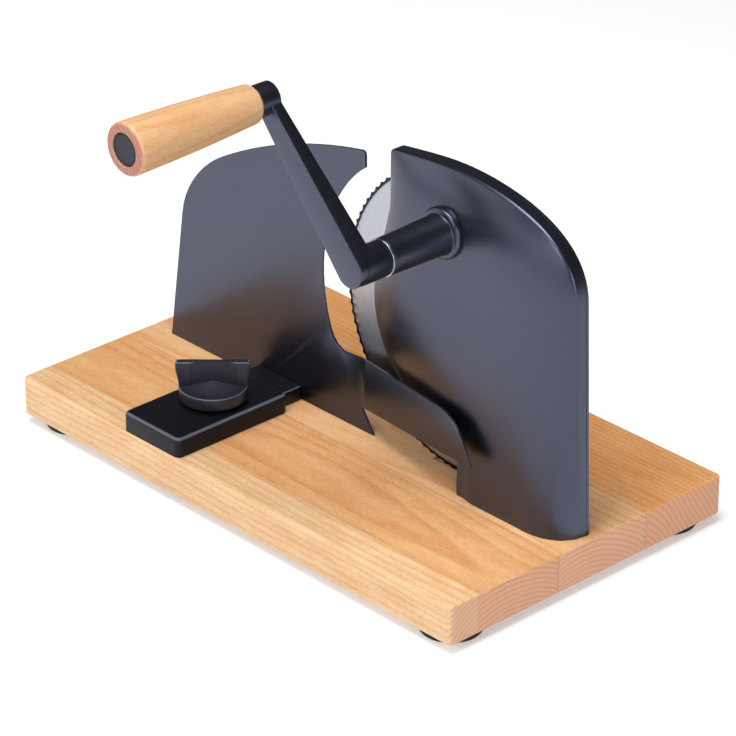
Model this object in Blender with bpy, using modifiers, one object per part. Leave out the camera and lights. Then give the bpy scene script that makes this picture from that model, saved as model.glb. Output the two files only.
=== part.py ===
"""Hand-cranked food slicer with a round blade, on a beech board.

Metres. +X runs along the board's long side towards the blade housing, +Y from the crank side to the loaf
side, +Z up. The origin lies on the table, under the middle of the whole object from the handle's free end to
the board's back edge. Depths are counted from the board's front edge towards +Y, heights from its top.
"""

import math

import bmesh
import bpy
from mathutils import Matrix, Vector
from mathutils.geometry import interpolate_bezier

# Clearance between pieces that touch or seat on each other
GAP = 0.0003

# Beech board
BOARD_LENGTH = 0.380
BOARD_DEPTH = 0.2225
BOARD_THICKNESS = 0.025
BOARD_CORNER = 0.004
BOARD_EDGE = 0.0012
SLOT_WIDTH = 0.0036
SLOT_DEPTH = 0.004

# Rubber feet
FOOT_RADIUS = 0.019
FOOT_HEIGHT = 0.006
FOOT_INSET = 0.023
FOOT_ROUND = 0.0012
FOOT_RECESS_RADIUS = 0.009
FOOT_RECESS_DEPTH = 0.0032

# Blade
BLADE_RADIUS = 0.097
BLADE_THICKNESS = 0.0012
BLADE_INSET = 0.1098
BLADE_DIP = 0.0017
BLADE_BACK = 0.1148
BLADE_WAVES = 96
WAVE_HEIGHT = 0.0012
GRIND_WIDTH = 0.008
WAVE_POINTS = 3

# Gears
GEAR_MODULE = 0.002
DRIVE_TEETH = 26
DRIVEN_TEETH = 42
GEAR_WIDTH = 0.005
DRIVE_SETBACK = 0.0006
PRESSURE_ANGLE = math.radians(20)
BACKLASH = 0.0004
STUD_RADIUS = 0.002
STUD_CIRCLE = 0.0125
STUD_COUNT = 3
GEAR_HUB_RADIUS = 0.017
GEAR_HUB_HEIGHT = 0.001

# Blade spindle and its clamp screw
JOURNAL_RADIUS = 0.006
SEAT_RADIUS = 0.008
COLLAR_RADIUS = 0.0095
COLLAR_WIDTH = 0.0005
JOURNAL_LENGTH = 0.009
BUSH_WALL = 0.0024
CLAMP_HEAD_RADIUS = 0.017
CLAMP_HEAD_HEIGHT = 0.0022
CLAMP_SHANK_RADIUS = 0.0027
CLAMP_SHANK_LENGTH = 0.011
COIN_SLOT_WIDTH = 0.002
COIN_SLOT_DEPTH = 0.0012

# Blade housing
WALL = 0.0022
FLOOR = 0.006
COVER_THICKNESS = 0.002
COVER_CLEARANCE = 0.0015
RIM_BAND = 0.007
LEFT_BAND = 0.006
PILLAR_BAND = 0.021
CROWN_BASE = 0.0225
CROWN_TOP = 0.019
TOP_MARGIN = 0.0059
SIDE_MARGIN = 0.008
SIDE_LEAN = 0.0355
BLADE_SHOWING = 0.031
PILLAR_OFFSET = 0.0196
PILLAR_LEAN = 0.0015
PILLAR_FILLET = 0.014
LEAVE_ANGLE = 165
LEFT_EASE = 0.009
LEFT_EDGE_OFFSET = -0.0512
TOP_CENTRE_OFFSET = 0.0038
SHOULDER_START = 0.033
SHOULDER_DROP = 0.0522
SHOULDER_TOP_TENSION = 0.613
SHOULDER_SIDE_TENSION = 0.695
TOP_LEFT_ROUND = 0.003
SPINE_BASE_OFFSET = 0.048
SPINE_TOP_OFFSET = 0.012
SPINE_TOP_RISE = 0.030
SOFT_CORNER_HEIGHT = 0.075
SOFT_CORNER_WIDTH = 0.029
SLICE_RAMP = 0.005
HUB_PAD_RADIUS = 0.0165
HUB_PAD_BAND = 0.0173
NUT_PAD_BAND = 0.0099
COVER_POST_RADIUS = 0.0036
BODY_POST_RADIUS = 0.0046
BODY_POST_HEIGHT = 0.014

# Bearing tube and crank shaft
CRANK_OFFSET = 0.0045
SHAFT_RADIUS = 0.005
TUBE_LENGTH = 0.0485
TUBE_FRONT_RADIUS = 0.0112
TUBE_BACK_RADIUS = 0.0125
FLANGE_RADIUS = 0.0157
FLANGE_WIDTH = 0.0042
SPIGOT_RADIUS = 0.0112
SPIGOT_LENGTH = 0.0110
TUBE_BORE = 0.0080
NUT_RADIUS = 0.0155
NUT_WIDTH = 0.003
FRONT_BUSH_LENGTH = 0.012
REAR_BUSH_LENGTH = 0.0105
RING_RADIUS = 0.0116
RING_WIDTH = 0.0008
CLIP_RADIUS = 0.0075
CLIP_WIDTH = 0.0006
CLIP_GROOVE = 0.0009

# Crank arm and handle
CRANK_RADIUS = 0.1076
CRANK_ANGLE = math.radians(131.6)
BOSS_RADIUS = 0.0109
BOSS_LENGTH = 0.0125
ARM_END_RADIUS = 0.0106
ARM_TIP_RADIUS = 0.0064
ARM_THICK = 0.0115
ARM_THIN = 0.0053
ARM_EDGE = 0.0006
HANDLE_BOSS_RADIUS = 0.0095
HANDLE_BOSS_PROUD = 0.002
SHAFT_SEAT = 0.003
SET_SCREW_RADIUS = 0.002
SET_SCREW_ANGLE = math.radians(225)
HANDLE_LENGTH = 0.0967
HANDLE_ARM_RADIUS = 0.0117
HANDLE_FREE_RADIUS = 0.0156
HANDLE_ROUND = 0.0025
HANDLE_BELLY = 0.0006
PIN_RADIUS = 0.0035
PIN_HEAD_RADIUS = 0.007
PIN_HEAD_WIDTH = 0.004
CAP_RADIUS = 0.0095
CAP_WIDTH = 0.005
CAP_RECESS = 0.0004

# Fence plate with its slice guide, one bent sheet
SLICE_SETTING = 0.0078
THINNEST_SLICE = 0.0045
FENCE_THICKNESS = 0.0015
FENCE_CLEARANCE = 0.013
FENCE_REACH = 0.2517
FENCE_LEFT_SLOPE = 0.150
FENCE_SHOULDER_LOW = 0.090
FENCE_SHOULDER_REACH = 0.2002
FENCE_SHOULDER_HIGH = 0.139
FENCE_SHOULDER_PULL = 0.020
FENCE_DROP = 0.0078
FENCE_TOP_RADIUS = 0.390
FENCE_TIP = 0.0061
FENCE_CORNER = 0.0025
GUIDE_REACH = 0.0762
GUIDE_FOOT_X = 0.0145
GUIDE_LOW = 0.0155
GUIDE_TOP = 0.0474
GUIDE_TOP_RISE = 0.077
GUIDE_ROOT = 0.0095
GUIDE_LENGTH = 0.1208
GUIDE_TIP_HEIGHT = 0.0305
GUIDE_END_DEPTH = 0.034
GUIDE_END_PULL = 0.016
GUIDE_BEND = math.radians(12)
GUIDE_BEND_LENGTH = 0.004

# Slider, its clamp housing and the knob
SLIDER_WIDTH = 0.039
SLIDER_THICKNESS = 0.0096
SLIDER_LENGTH = 0.080
SLIDER_ROUND = 0.0012
CLAMP_OFFSET = 0.1490
CLAMP_FRONT = 0.0015
CLAMP_LENGTH = 0.0875
CLAMP_WIDTH = 0.051
CLAMP_ROOF = 0.0026
CLAMP_END_WALL = 0.0110
CLAMP_CORNER = 0.004
CLAMP_ROUND = 0.0025
CHANNEL_CLEARANCE = 0.0004
OPEN_TRAVEL = 0.012
KNOB_DEPTH = 0.0515
KNOB_RADIUS = 0.021
KNOB_FOOT_RADIUS = 0.016
KNOB_FOOT_HEIGHT = 0.0018
KNOB_DISC_HEIGHT = 0.0077
KNOB_DOME = 0.0012
KNOB_DISH = 0.0012
KNOB_RIM = 0.0008
GRIP_HEIGHT = 0.0158
GRIP_THICKNESS = 0.0054
GRIP_FLARE = 0.0020
GRIP_WAIST = 0.0010
GRIP_WAIST_RADIUS = 0.120
GRIP_ANGLE = math.radians(47)
GRIP_EDGE = 0.0008
STUD_BOLT_RADIUS = 0.003
STUD_HEAD_RADIUS = 0.0055
STUD_HEAD_HEIGHT = 0.0040
STUD_END = 0.002
INSERT_RADIUS = 0.005
INSERT_LENGTH = 0.012
INSERT_FLANGE_RADIUS = 0.008
INSERT_FLANGE_WIDTH = 0.0012

# Screws: shank radius, head radius, head height, length under the head
FOOT_SCREW = (0.0018, 0.0042, 0.0020, 0.0150)
BODY_SCREW = (0.0020, 0.0042, 0.0024, 0.0315)
HOUSING_SCREW = (0.0018, 0.0038, 0.0022, 0.0280)
COVER_SCREW = (0.0012, 0.0023, 0.0011, 0.0080)
FENCE_SCREW = (0.0014, 0.0029, 0.0012, 0.0085)
SCREW_CLEARANCE = 0.0003
COUNTERBORE_DEPTH = 0.0040

# Facets
FINE = 28
ROUND = 16
SMALL = 10


# The middle between the handle's free end and the board's back edge
DRIVE_REACH = COVER_THICKNESS + HUB_PAD_BAND + TUBE_LENGTH + RING_WIDTH + BOSS_LENGTH + ARM_THICK
HANDLE_DEPTH = BLADE_BACK - DRIVE_REACH - HANDLE_BOSS_PROUD - HANDLE_LENGTH - 5 * GAP
ORIGIN_DEPTH = (BOARD_DEPTH + HANDLE_DEPTH) / 2


def depth(value):
    """World Y of a depth counted from the board's front edge."""
    return value - ORIGIN_DEPTH


def under(value):
    """World Z of a height counted from the board's underside."""
    return FOOT_HEIGHT + GAP + value


def height(value):
    """World Z of a height counted from the board's top."""
    return under(BOARD_THICKNESS + value)


# Places that several pieces share
BLADE_X = BOARD_LENGTH / 2 - BLADE_INSET
CLAMP_X = BLADE_X - CLAMP_OFFSET
BLADE_HEIGHT = BLADE_RADIUS - BLADE_DIP
BLADE_AXIS = (BLADE_X, height(BLADE_HEIGHT))
BLADE_REAR = depth(BLADE_BACK)
BLADE_FACE = BLADE_REAR - BLADE_THICKNESS
GEAR_BACK = BLADE_FACE - GAP - GEAR_HUB_HEIGHT
GEAR_FRONT = GEAR_BACK - GEAR_WIDTH
DRIVE_PITCH = GEAR_MODULE * DRIVE_TEETH / 2
DRIVEN_PITCH = GEAR_MODULE * DRIVEN_TEETH / 2
CRANK_RISE = math.sqrt((DRIVE_PITCH + DRIVEN_PITCH) ** 2 - CRANK_OFFSET**2)
CRANK_HEIGHT = BLADE_HEIGHT + CRANK_RISE
CRANK_AXIS = (BLADE_X + CRANK_OFFSET, height(CRANK_HEIGHT))
BODY_BACK = BLADE_REAR - COVER_THICKNESS - GAP
HUB_PAD = BODY_BACK - HUB_PAD_BAND
NUT_PAD = BODY_BACK - NUT_PAD_BAND
TUBE_BACK = HUB_PAD - GAP
TUBE_FRONT = TUBE_BACK - TUBE_LENGTH
RING_FRONT = TUBE_FRONT - GAP - RING_WIDTH
BOSS_BACK = RING_FRONT - GAP
ARM_FRONT = BOSS_BACK - BOSS_LENGTH - ARM_THICK
HANDLE_AXIS = (
    CRANK_AXIS[0] + CRANK_RADIUS * math.cos(CRANK_ANGLE),
    CRANK_AXIS[1] + CRANK_RADIUS * math.sin(CRANK_ANGLE),
)
HANDLE_START = ARM_FRONT - HANDLE_BOSS_PROUD - GAP
HANDLE_END = HANDLE_START - HANDLE_LENGTH
FENCE_REAR = BLADE_REAR - SLICE_SETTING
FENCE_FRONT = FENCE_REAR - FENCE_THICKNESS
SLIDER_BACK = FENCE_FRONT - GAP
SLIDER_TOP = GAP + SLIDER_THICKNESS
CHANNEL_TOP = SLIDER_TOP + CHANNEL_CLEARANCE
CLAMP_TOP = CHANNEL_TOP + CLAMP_ROOF
KNOB_Y = depth(KNOB_DEPTH)
KNOB_BOTTOM = CLAMP_TOP + GAP
CLOSE_TRAVEL = SLICE_SETTING - THINNEST_SLICE
FENCE_TOP = BLADE_HEIGHT + BLADE_RADIUS - FENCE_DROP
FENCE_LEFT = BLADE_X - FENCE_REACH
GUIDE_START = BLADE_X - GUIDE_REACH

# Cover screws: angle round the blade in degrees, distance beyond its edge
COVER_POSTS = ((118.7, 0.0075), (47.9, 0.0096), (-41.9, 0.0273), (-55.5, 0.0073))

# Body screws: distance from the blade's axis, distance in front of the housing's back
BODY_SCREWS = ((0.0320, 0.0110), (0.0640, 0.0115), (0.0910, 0.0085))
HOUSING_SCREW_SPREAD = 0.0165
HOUSING_SCREW_DEPTH = CLAMP_FRONT + CLAMP_END_WALL / 2
FENCE_SCREW_SPREAD = 0.0100
FENCE_SCREW_HEIGHT = SLIDER_TOP / 2

for item in list(bpy.data.objects):
    bpy.data.objects.remove(item, do_unlink=True)

PARTS = bpy.data.collections.new("food_slicer")
CUTTERS = bpy.data.collections.new("cutters")
bpy.context.scene.collection.children.link(PARTS)
bpy.context.scene.collection.children.link(CUTTERS)


def material(name, colour, roughness, metallic=0.0):
    """A plain Principled material."""
    made = bpy.data.materials.new(name)
    made.use_nodes = True
    shader = made.node_tree.nodes["Principled BSDF"]
    shader.inputs["Base Color"].default_value = (*colour, 1.0)
    shader.inputs["Roughness"].default_value = roughness
    shader.inputs["Metallic"].default_value = metallic
    return made


BEECH = material("beech", (0.64, 0.36, 0.16), 0.5)
HANDLE_BEECH = material("handle beech", (0.66, 0.38, 0.17), 0.5)
BLACK_LACQUER = material("black lacquered metal", (0.02, 0.022, 0.027), 0.35)
BLACK_PLASTIC = material("black plastic", (0.018, 0.019, 0.022), 0.45)
GREY_PLASTIC = material("grey plastic", (0.06, 0.065, 0.075), 0.5)
RUBBER = material("black rubber", (0.012, 0.012, 0.013), 0.8)
BLADE_STEEL = material("ground stainless steel", (0.62, 0.62, 0.64), 0.3, 1.0)
STEEL = material("bright steel", (0.55, 0.55, 0.56), 0.35, 1.0)
BRASS = material("brass", (0.7, 0.5, 0.22), 0.35, 1.0)
GEAR_PLASTIC = material("white gear plastic", (0.7, 0.69, 0.64), 0.45)


# Builders of plain forms


def place(name, mesh, made_of):
    """Links a mesh as a part, or as a hidden cutter if it has no material."""
    made = bpy.data.objects.new(name, mesh)
    if made_of:
        PARTS.objects.link(made)
        mesh.materials.append(made_of)
    else:
        CUTTERS.objects.link(made)
        made.hide_render = True
        made.display_type = "WIRE"
    return made


def from_bmesh(name, form, made_of=None):
    """Turns a bmesh into an object with its faces pointing out."""
    bmesh.ops.recalc_face_normals(form, faces=form.faces)
    mesh = bpy.data.meshes.new(name)
    form.to_mesh(mesh)
    form.free()
    mesh.shade_smooth()
    mesh.set_sharp_from_angle(angle=math.radians(35))
    return place(name, mesh, made_of)


def turned(name, profile, axis, centre, made_of=None, steps=ROUND):
    """A turned piece from (radius, position) points, given from the axis' far end to its near end on the outside.

    A profile that ends where it starts is a ring. Axis "Y" takes centre as (x, z), axis "Z" as (x, y).
    """
    ring = profile[0] == profile[-1]
    points = profile[:-1] if ring else profile
    mesh = bpy.data.meshes.new(name)
    edges = [(k, k + 1) for k in range(len(points) - 1)]
    if ring:
        edges.append((len(points) - 1, 0))
    mesh.from_pydata([(radius, 0.0, along) for radius, along in points], edges, [])
    made = place(name, mesh, made_of)
    if axis == "Y":
        made.rotation_euler = (-math.pi / 2, 0.0, 0.0)
        made.location = (centre[0], 0.0, centre[1])
    else:
        made.location = (centre[0], centre[1], 0.0)
    screw = made.modifiers.new("turn", "SCREW")
    screw.axis = "Z"
    screw.steps = steps
    screw.render_steps = steps
    screw.use_merge_vertices = True
    screw.merge_threshold = 0.00001
    screw.use_smooth_shade = True
    return made


def rod(name, radius, low, high, axis, centre, made_of=None, steps=ROUND):
    """A plain cylinder between two positions along its axis."""
    profile = [(0.0, high), (radius, high), (radius, low), (0.0, low)]
    return turned(name, profile, axis, centre, made_of, steps)


def sleeve(name, bore, radius, low, high, axis, centre, made_of, steps=ROUND):
    """A plain tube between two positions along its axis."""
    profile = [(bore, high), (radius, high), (radius, low), (bore, low), (bore, high)]
    return turned(name, profile, axis, centre, made_of, steps)


def box(name, low, high, made_of=None, corner=0.0, corner_steps=3):
    """A block between two corners, its upright edges rounded by corner."""
    form = bmesh.new()
    bmesh.ops.create_cube(form, size=1.0)
    size = Vector(high) - Vector(low)
    middle = (Vector(high) + Vector(low)) / 2
    bmesh.ops.scale(form, vec=size, verts=form.verts)
    bmesh.ops.translate(form, vec=middle, verts=form.verts)
    if corner:
        upright = [edge for edge in form.edges if abs(edge.verts[0].co.z - edge.verts[1].co.z) > size.z / 2]
        bmesh.ops.bevel(form, geom=upright, offset=corner, segments=corner_steps, profile=0.5, affect="EDGES")
    return from_bmesh(name, form, made_of)


def plate(name, outline, low, high, made_of=None):
    """A flat sheet in the XZ plane: a filled 2D outline of (x, z) points, between two positions along Y."""
    curve = bpy.data.curves.new(name, "CURVE")
    curve.dimensions = "2D"
    curve.fill_mode = "BOTH"
    curve.extrude = (high - low) / 2
    spline = curve.splines.new("POLY")
    spline.points.add(len(outline) - 1)
    for point, (x, z) in zip(spline.points, outline):
        point.co = (x, z, 0.0, 1.0)
    spline.use_cyclic_u = True
    guide = bpy.data.objects.new(name + "_outline", curve)
    CUTTERS.objects.link(guide)
    bpy.context.view_layer.update()
    mesh = bpy.data.meshes.new_from_object(guide.evaluated_get(bpy.context.evaluated_depsgraph_get()))
    bpy.data.objects.remove(guide, do_unlink=True)
    form = bmesh.new()
    form.from_mesh(mesh)
    bmesh.ops.remove_doubles(form, verts=form.verts, dist=0.00001)
    turn = Matrix.Rotation(math.pi / 2, 4, "X")
    bmesh.ops.transform(form, matrix=turn, verts=form.verts)
    bmesh.ops.translate(form, vec=(0.0, (high + low) / 2, 0.0), verts=form.verts)
    return from_bmesh(name, form, made_of)


def combine(target, others, operation="DIFFERENCE"):
    """Cuts, joins or intersects target with one or more cutters in one step."""
    step = target.modifiers.new(operation.lower(), "BOOLEAN")
    step.operation = operation
    step.solver = "EXACT"
    if isinstance(others, list):
        tools = bpy.data.collections.new(f"{target.name}_{len(target.modifiers)}")
        CUTTERS.children.link(tools)
        for other in others:
            CUTTERS.objects.unlink(other)
            tools.objects.link(other)
        step.operand_type = "COLLECTION"
        step.collection = tools
    else:
        step.object = others
    return target


def soften(target, width, segments=2, angle=40):
    """Rounds the edges sharper than an angle."""
    bevel = target.modifiers.new("round", "BEVEL")
    bevel.width = width
    bevel.segments = segments
    bevel.limit_method = "ANGLE"
    bevel.angle_limit = math.radians(angle)
    return target


def fixed_copy(target):
    """Replaces an object's mesh by its finished form, so that later steps start from plain faces."""
    bpy.context.view_layer.update()
    graph = bpy.context.evaluated_depsgraph_get()
    mesh = bpy.data.meshes.new_from_object(target.evaluated_get(graph))
    target.modifiers.clear()
    target.data = mesh
    return target


def arc(centre, radius, start, end, count):
    """Points on an arc from start to end in degrees, without the last one."""
    return [polar_spot(centre, radius, start + (end - start) * k / count) for k in range(count)]


def polar_spot(centre, radius, angle):
    """A point at an angle in degrees round a centre."""
    return (centre[0] + radius * math.cos(math.radians(angle)), centre[1] + radius * math.sin(math.radians(angle)))


def line(start, end, count):
    """Points on a straight line, without the last one."""
    return [tuple(Vector(start).lerp(Vector(end), k / count)) for k in range(count)]


def bend_between(start, start_pull, end_pull, end, count):
    """Points on a smooth curve with the given handles, without the last one."""
    points = interpolate_bezier(Vector(start), Vector(start_pull), Vector(end_pull), Vector(end), count + 1)
    return [tuple(point) for point in points[:-1]]


def arc_between(start, end, radius, count):
    """Points on the arc of a radius that bulges to the left of start to end, without the last one."""
    a, b = Vector(start), Vector(end)
    chord = b - a
    half = chord.length / 2
    inward = Vector((chord.y, -chord.x)).normalized()
    centre = (a + b) / 2 + inward * math.sqrt(radius**2 - half**2)
    begin = math.degrees(math.atan2(a.y - centre.y, a.x - centre.x))
    finish = math.degrees(math.atan2(b.y - centre.y, b.x - centre.x))
    return arc(centre, radius, begin, finish, count)


def shank_hole(name, size, axis, centre, low, high):
    """A cutter for the plain hole round a screw's shank."""
    return rod(name, size[0] + SCREW_CLEARANCE, low, high, axis, centre, steps=SMALL)


def pan_screw_up(name, size, centre, seat):
    """A pan-head screw that points up, its head under the seat."""
    shank, head, head_height, length = size
    profile = [
        (0.0, seat + length),
        (shank, seat + length),
        (shank, seat),
        (head, seat),
        (head * 0.8, seat - head_height),
        (0.0, seat - head_height),
    ]
    return turned(name, profile, "Z", centre, STEEL, SMALL)


def flush_screw(name, size, centre, face):
    """A countersunk screw whose flat head lies in a face that looks towards +Y."""
    shank, head, head_height, length = size
    profile = [(0.0, face), (head, face), (shank, face - head_height), (shank, face - length), (0.0, face - length)]
    return turned(name, profile, "Y", centre, STEEL, SMALL)


def countersink(name, size, centre, face, thickness):
    """A cutter for the seat of a countersunk screw through a sheet."""
    shank, head, head_height, _ = size
    wide = head + SCREW_CLEARANCE
    slim = shank + SCREW_CLEARANCE
    profile = [
        (0.0, face + GAP),
        (wide + GAP, face + GAP),
        (slim, face - head_height - SCREW_CLEARANCE / 2),
        (slim, face - thickness - GAP),
        (0.0, face - thickness - GAP),
    ]
    return turned(name, profile, "Y", centre, steps=SMALL)


# Board and feet


def foot_places():
    """Centres of the four feet."""
    x = BOARD_LENGTH / 2 - FOOT_INSET
    front, back = depth(FOOT_INSET), depth(BOARD_DEPTH - FOOT_INSET)
    return [(-x, front), (x, front), (-x, back), (x, back)]


def body_screw_places():
    """Centres of the screws that hold the blade housing, as (x, y)."""
    return [(BLADE_X + x, BODY_BACK - back) for x, back in BODY_SCREWS]


def housing_screw_places():
    """Centres of the screws that hold the clamp housing, as (x, y)."""
    y = depth(HOUSING_SCREW_DEPTH)
    return [(CLAMP_X - HOUSING_SCREW_SPREAD, y), (CLAMP_X + HOUSING_SCREW_SPREAD, y)]


def make_board():
    """The beech board with the blade's slot and the screw holes."""
    low = (-BOARD_LENGTH / 2, depth(0.0), under(0.0))
    high = (BOARD_LENGTH / 2, depth(BOARD_DEPTH), height(0.0))
    board = box("base_board", low, high, BEECH, corner=BOARD_CORNER)
    soften(board, BOARD_EDGE, 1, 60)
    reach = math.sqrt(BLADE_RADIUS**2 - BLADE_HEIGHT**2) + SLOT_WIDTH
    middle = (BLADE_FACE + BLADE_REAR) / 2
    slot = box(
        "blade_slot",
        (BLADE_X - reach, middle - SLOT_WIDTH / 2, height(-SLOT_DEPTH)),
        (BLADE_X + reach, middle + SLOT_WIDTH / 2, height(SLOT_DEPTH)),
    )
    holes = [slot]
    for size, places in ((BODY_SCREW, body_screw_places()), (HOUSING_SCREW, housing_screw_places())):
        for centre in places:
            mouth = size[1] + 2 * GAP
            hole = size[0] + SCREW_CLEARANCE
            profile = [
                (0.0, height(GAP)),
                (hole, height(GAP)),
                (hole, under(COUNTERBORE_DEPTH)),
                (mouth, under(COUNTERBORE_DEPTH)),
                (mouth, under(-GAP)),
                (0.0, under(-GAP)),
            ]
            holes.append(turned(f"board_hole_{len(holes)}", profile, "Z", centre, steps=SMALL))
    for centre in foot_places():
        name = f"board_hole_{len(holes)}"
        holes.append(shank_hole(name, FOOT_SCREW, "Z", centre, under(-GAP), under(FOOT_SCREW[3])))
    profile = [
        (0.0, height(GAP)),
        (STUD_BOLT_RADIUS + GAP, height(GAP)),
        (STUD_BOLT_RADIUS + GAP, under(INSERT_LENGTH + 2 * GAP)),
        (INSERT_RADIUS + GAP, under(INSERT_LENGTH + 2 * GAP)),
        (INSERT_RADIUS + GAP, under(INSERT_FLANGE_WIDTH + 2 * GAP)),
        (INSERT_FLANGE_RADIUS + GAP, under(INSERT_FLANGE_WIDTH + 2 * GAP)),
        (INSERT_FLANGE_RADIUS + GAP, under(-GAP)),
        (0.0, under(-GAP)),
    ]
    holes.append(turned("insert_hole", profile, "Z", (CLAMP_X, KNOB_Y), steps=SMALL))
    combine(board, holes)


def make_feet():
    """Four turned rubber feet, each with a screw in its recess."""
    top = under(-GAP)
    bottom = top - FOOT_HEIGHT
    roof = bottom + FOOT_RECESS_DEPTH
    hole = FOOT_SCREW[0] + SCREW_CLEARANCE
    profile = [
        (hole, top),
        (FOOT_RADIUS, top),
        (FOOT_RADIUS, bottom + FOOT_ROUND),
        (FOOT_RADIUS - FOOT_ROUND, bottom),
        (FOOT_RECESS_RADIUS, bottom),
        (FOOT_RECESS_RADIUS, roof),
        (hole, roof),
        (hole, top),
    ]
    for number, centre in enumerate(foot_places(), 1):
        turned(f"foot_{number}", profile, "Z", centre, RUBBER)
        pan_screw_up(f"foot_screw_{number}", FOOT_SCREW, centre, roof - GAP)


# Blade housing


def smooth(value):
    """A smooth step from 0 to 1."""
    value = min(1.0, max(0.0, value))
    return value * value * (3 - 2 * value)


def body_top():
    """Height of the housing's top over the board."""
    gear_top = CRANK_HEIGHT + DRIVE_PITCH + GEAR_MODULE + WALL
    return max(BLADE_HEIGHT + BLADE_RADIUS + TOP_MARGIN, gear_top + GEAR_MODULE)


def left_outline():
    """Left edge from the board, round the open part of the blade and up to the apex, as (x, height)."""
    foot = (BLADE_X + PILLAR_OFFSET, 0.0)
    inner = BLADE_RADIUS - BLADE_SHOWING
    hub = (BLADE_X, BLADE_HEIGHT)
    fillet_x = foot[0] - PILLAR_LEAN - PILLAR_FILLET
    between = inner + PILLAR_FILLET
    fillet = (fillet_x, BLADE_HEIGHT - math.sqrt(between**2 - (fillet_x - BLADE_X) ** 2))
    turn_low = math.degrees(math.atan2(fillet[1] - hub[1], fillet[0] - hub[0]))
    edge_x = BLADE_X + LEFT_EDGE_OFFSET
    leave = polar_spot(hub, inner, LEAVE_ANGLE)
    lean = math.radians(LEAVE_ANGLE - 90)
    meet = (edge_x, leave[1] + (edge_x - leave[0]) * math.tan(lean))
    before = Vector(meet) - Vector((math.cos(lean), math.sin(lean))) * LEFT_EASE
    top_centre = BLADE_X + TOP_CENTRE_OFFSET
    top = body_top()
    corner = (edge_x + TOP_LEFT_ROUND, 0.0)
    corner_z = math.sqrt((top - TOP_LEFT_ROUND) ** 2 - (corner[0] - top_centre) ** 2)
    corner = (corner[0], corner_z)
    turn = math.degrees(math.atan2(corner_z, corner[0] - top_centre))
    apex = math.degrees(math.acos((BLADE_X + SPINE_TOP_OFFSET - top_centre) / top))
    points = line(foot, (fillet_x + PILLAR_FILLET, fillet[1]), 1)
    points += arc(fillet, PILLAR_FILLET, 0, turn_low + 180, 4)
    points += arc(hub, inner, turn_low, LEAVE_ANGLE - 360, 9)
    points += line(leave, before, 1)
    points += bend_between(before, meet, meet, (edge_x, meet[1] + LEFT_EASE), 2)
    points += line((edge_x, meet[1] + LEFT_EASE), (edge_x, corner_z), 2)
    points += arc(corner, TOP_LEFT_ROUND, 180, turn, 2)
    points += arc((top_centre, 0.0), top, turn, apex, 4)
    points.append((BLADE_X + SPINE_TOP_OFFSET, top * math.sin(math.radians(apex))))
    return points


def right_outline():
    """Right edge from the board up over the shoulder to the apex, as (x, height)."""
    top = body_top()
    top_centre = BLADE_X + TOP_CENTRE_OFFSET
    foot_x = BLADE_X + BLADE_RADIUS + SIDE_MARGIN
    shoulder = top - SHOULDER_DROP
    low = (foot_x - SIDE_LEAN * shoulder, shoulder)
    start_x = BLADE_X + SHOULDER_START
    high = (start_x, math.sqrt(top**2 - (start_x - top_centre) ** 2))
    along = Vector((high[1], top_centre - high[0]))
    upwards = Vector((-SIDE_LEAN, 1.0))
    between = Vector(high) - Vector(low)
    meet = Vector(low) + upwards * (between.cross(along) / upwards.cross(along))
    high_pull = Vector(high).lerp(meet, SHOULDER_TOP_TENSION)
    low_pull = Vector(low).lerp(meet, SHOULDER_SIDE_TENSION)
    begin = math.degrees(math.acos((start_x - top_centre) / top))
    apex = math.degrees(math.acos((BLADE_X + SPINE_TOP_OFFSET - top_centre) / top))
    points = line((foot_x, 0.0), low, 10)
    points += bend_between(low, low_pull, high_pull, high, 12)
    points += arc((top_centre, 0.0), top, begin, apex, 3)
    points.append((BLADE_X + SPINE_TOP_OFFSET, top * math.sin(math.radians(apex))))
    return points


def running_shares(points):
    """Share of the path's length at each point."""
    reached = [0.0]
    for a, b in zip(points, points[1:]):
        reached.append(reached[-1] + math.dist(a, b))
    return [value / reached[-1] for value in reached]


def outward(points, k, hand):
    """Outward direction of an outline at point k; hand is 1 for the left half and -1 for the right half."""
    before = Vector(points[max(k - 1, 0)])
    after = Vector(points[min(k + 1, len(points) - 1)])
    along = (after - before).normalized()
    if k == 0:
        return Vector((-hand, 0.0))
    return Vector((-along.y, along.x)) * hand


def left_band(share):
    """Depth of the left edge's side face at a share of the left outline."""
    low = PILLAR_BAND + (LEFT_BAND - PILLAR_BAND) * smooth(share / 0.25)
    return low + (RIM_BAND - low) * smooth((share - 0.6) / 0.4)


def left_ramp(share):
    """How far the left side face spreads outwards to the flat back, which leads the slice off the blade."""
    return SLICE_RAMP * (1 - smooth((share - 0.74) / 0.05))


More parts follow.
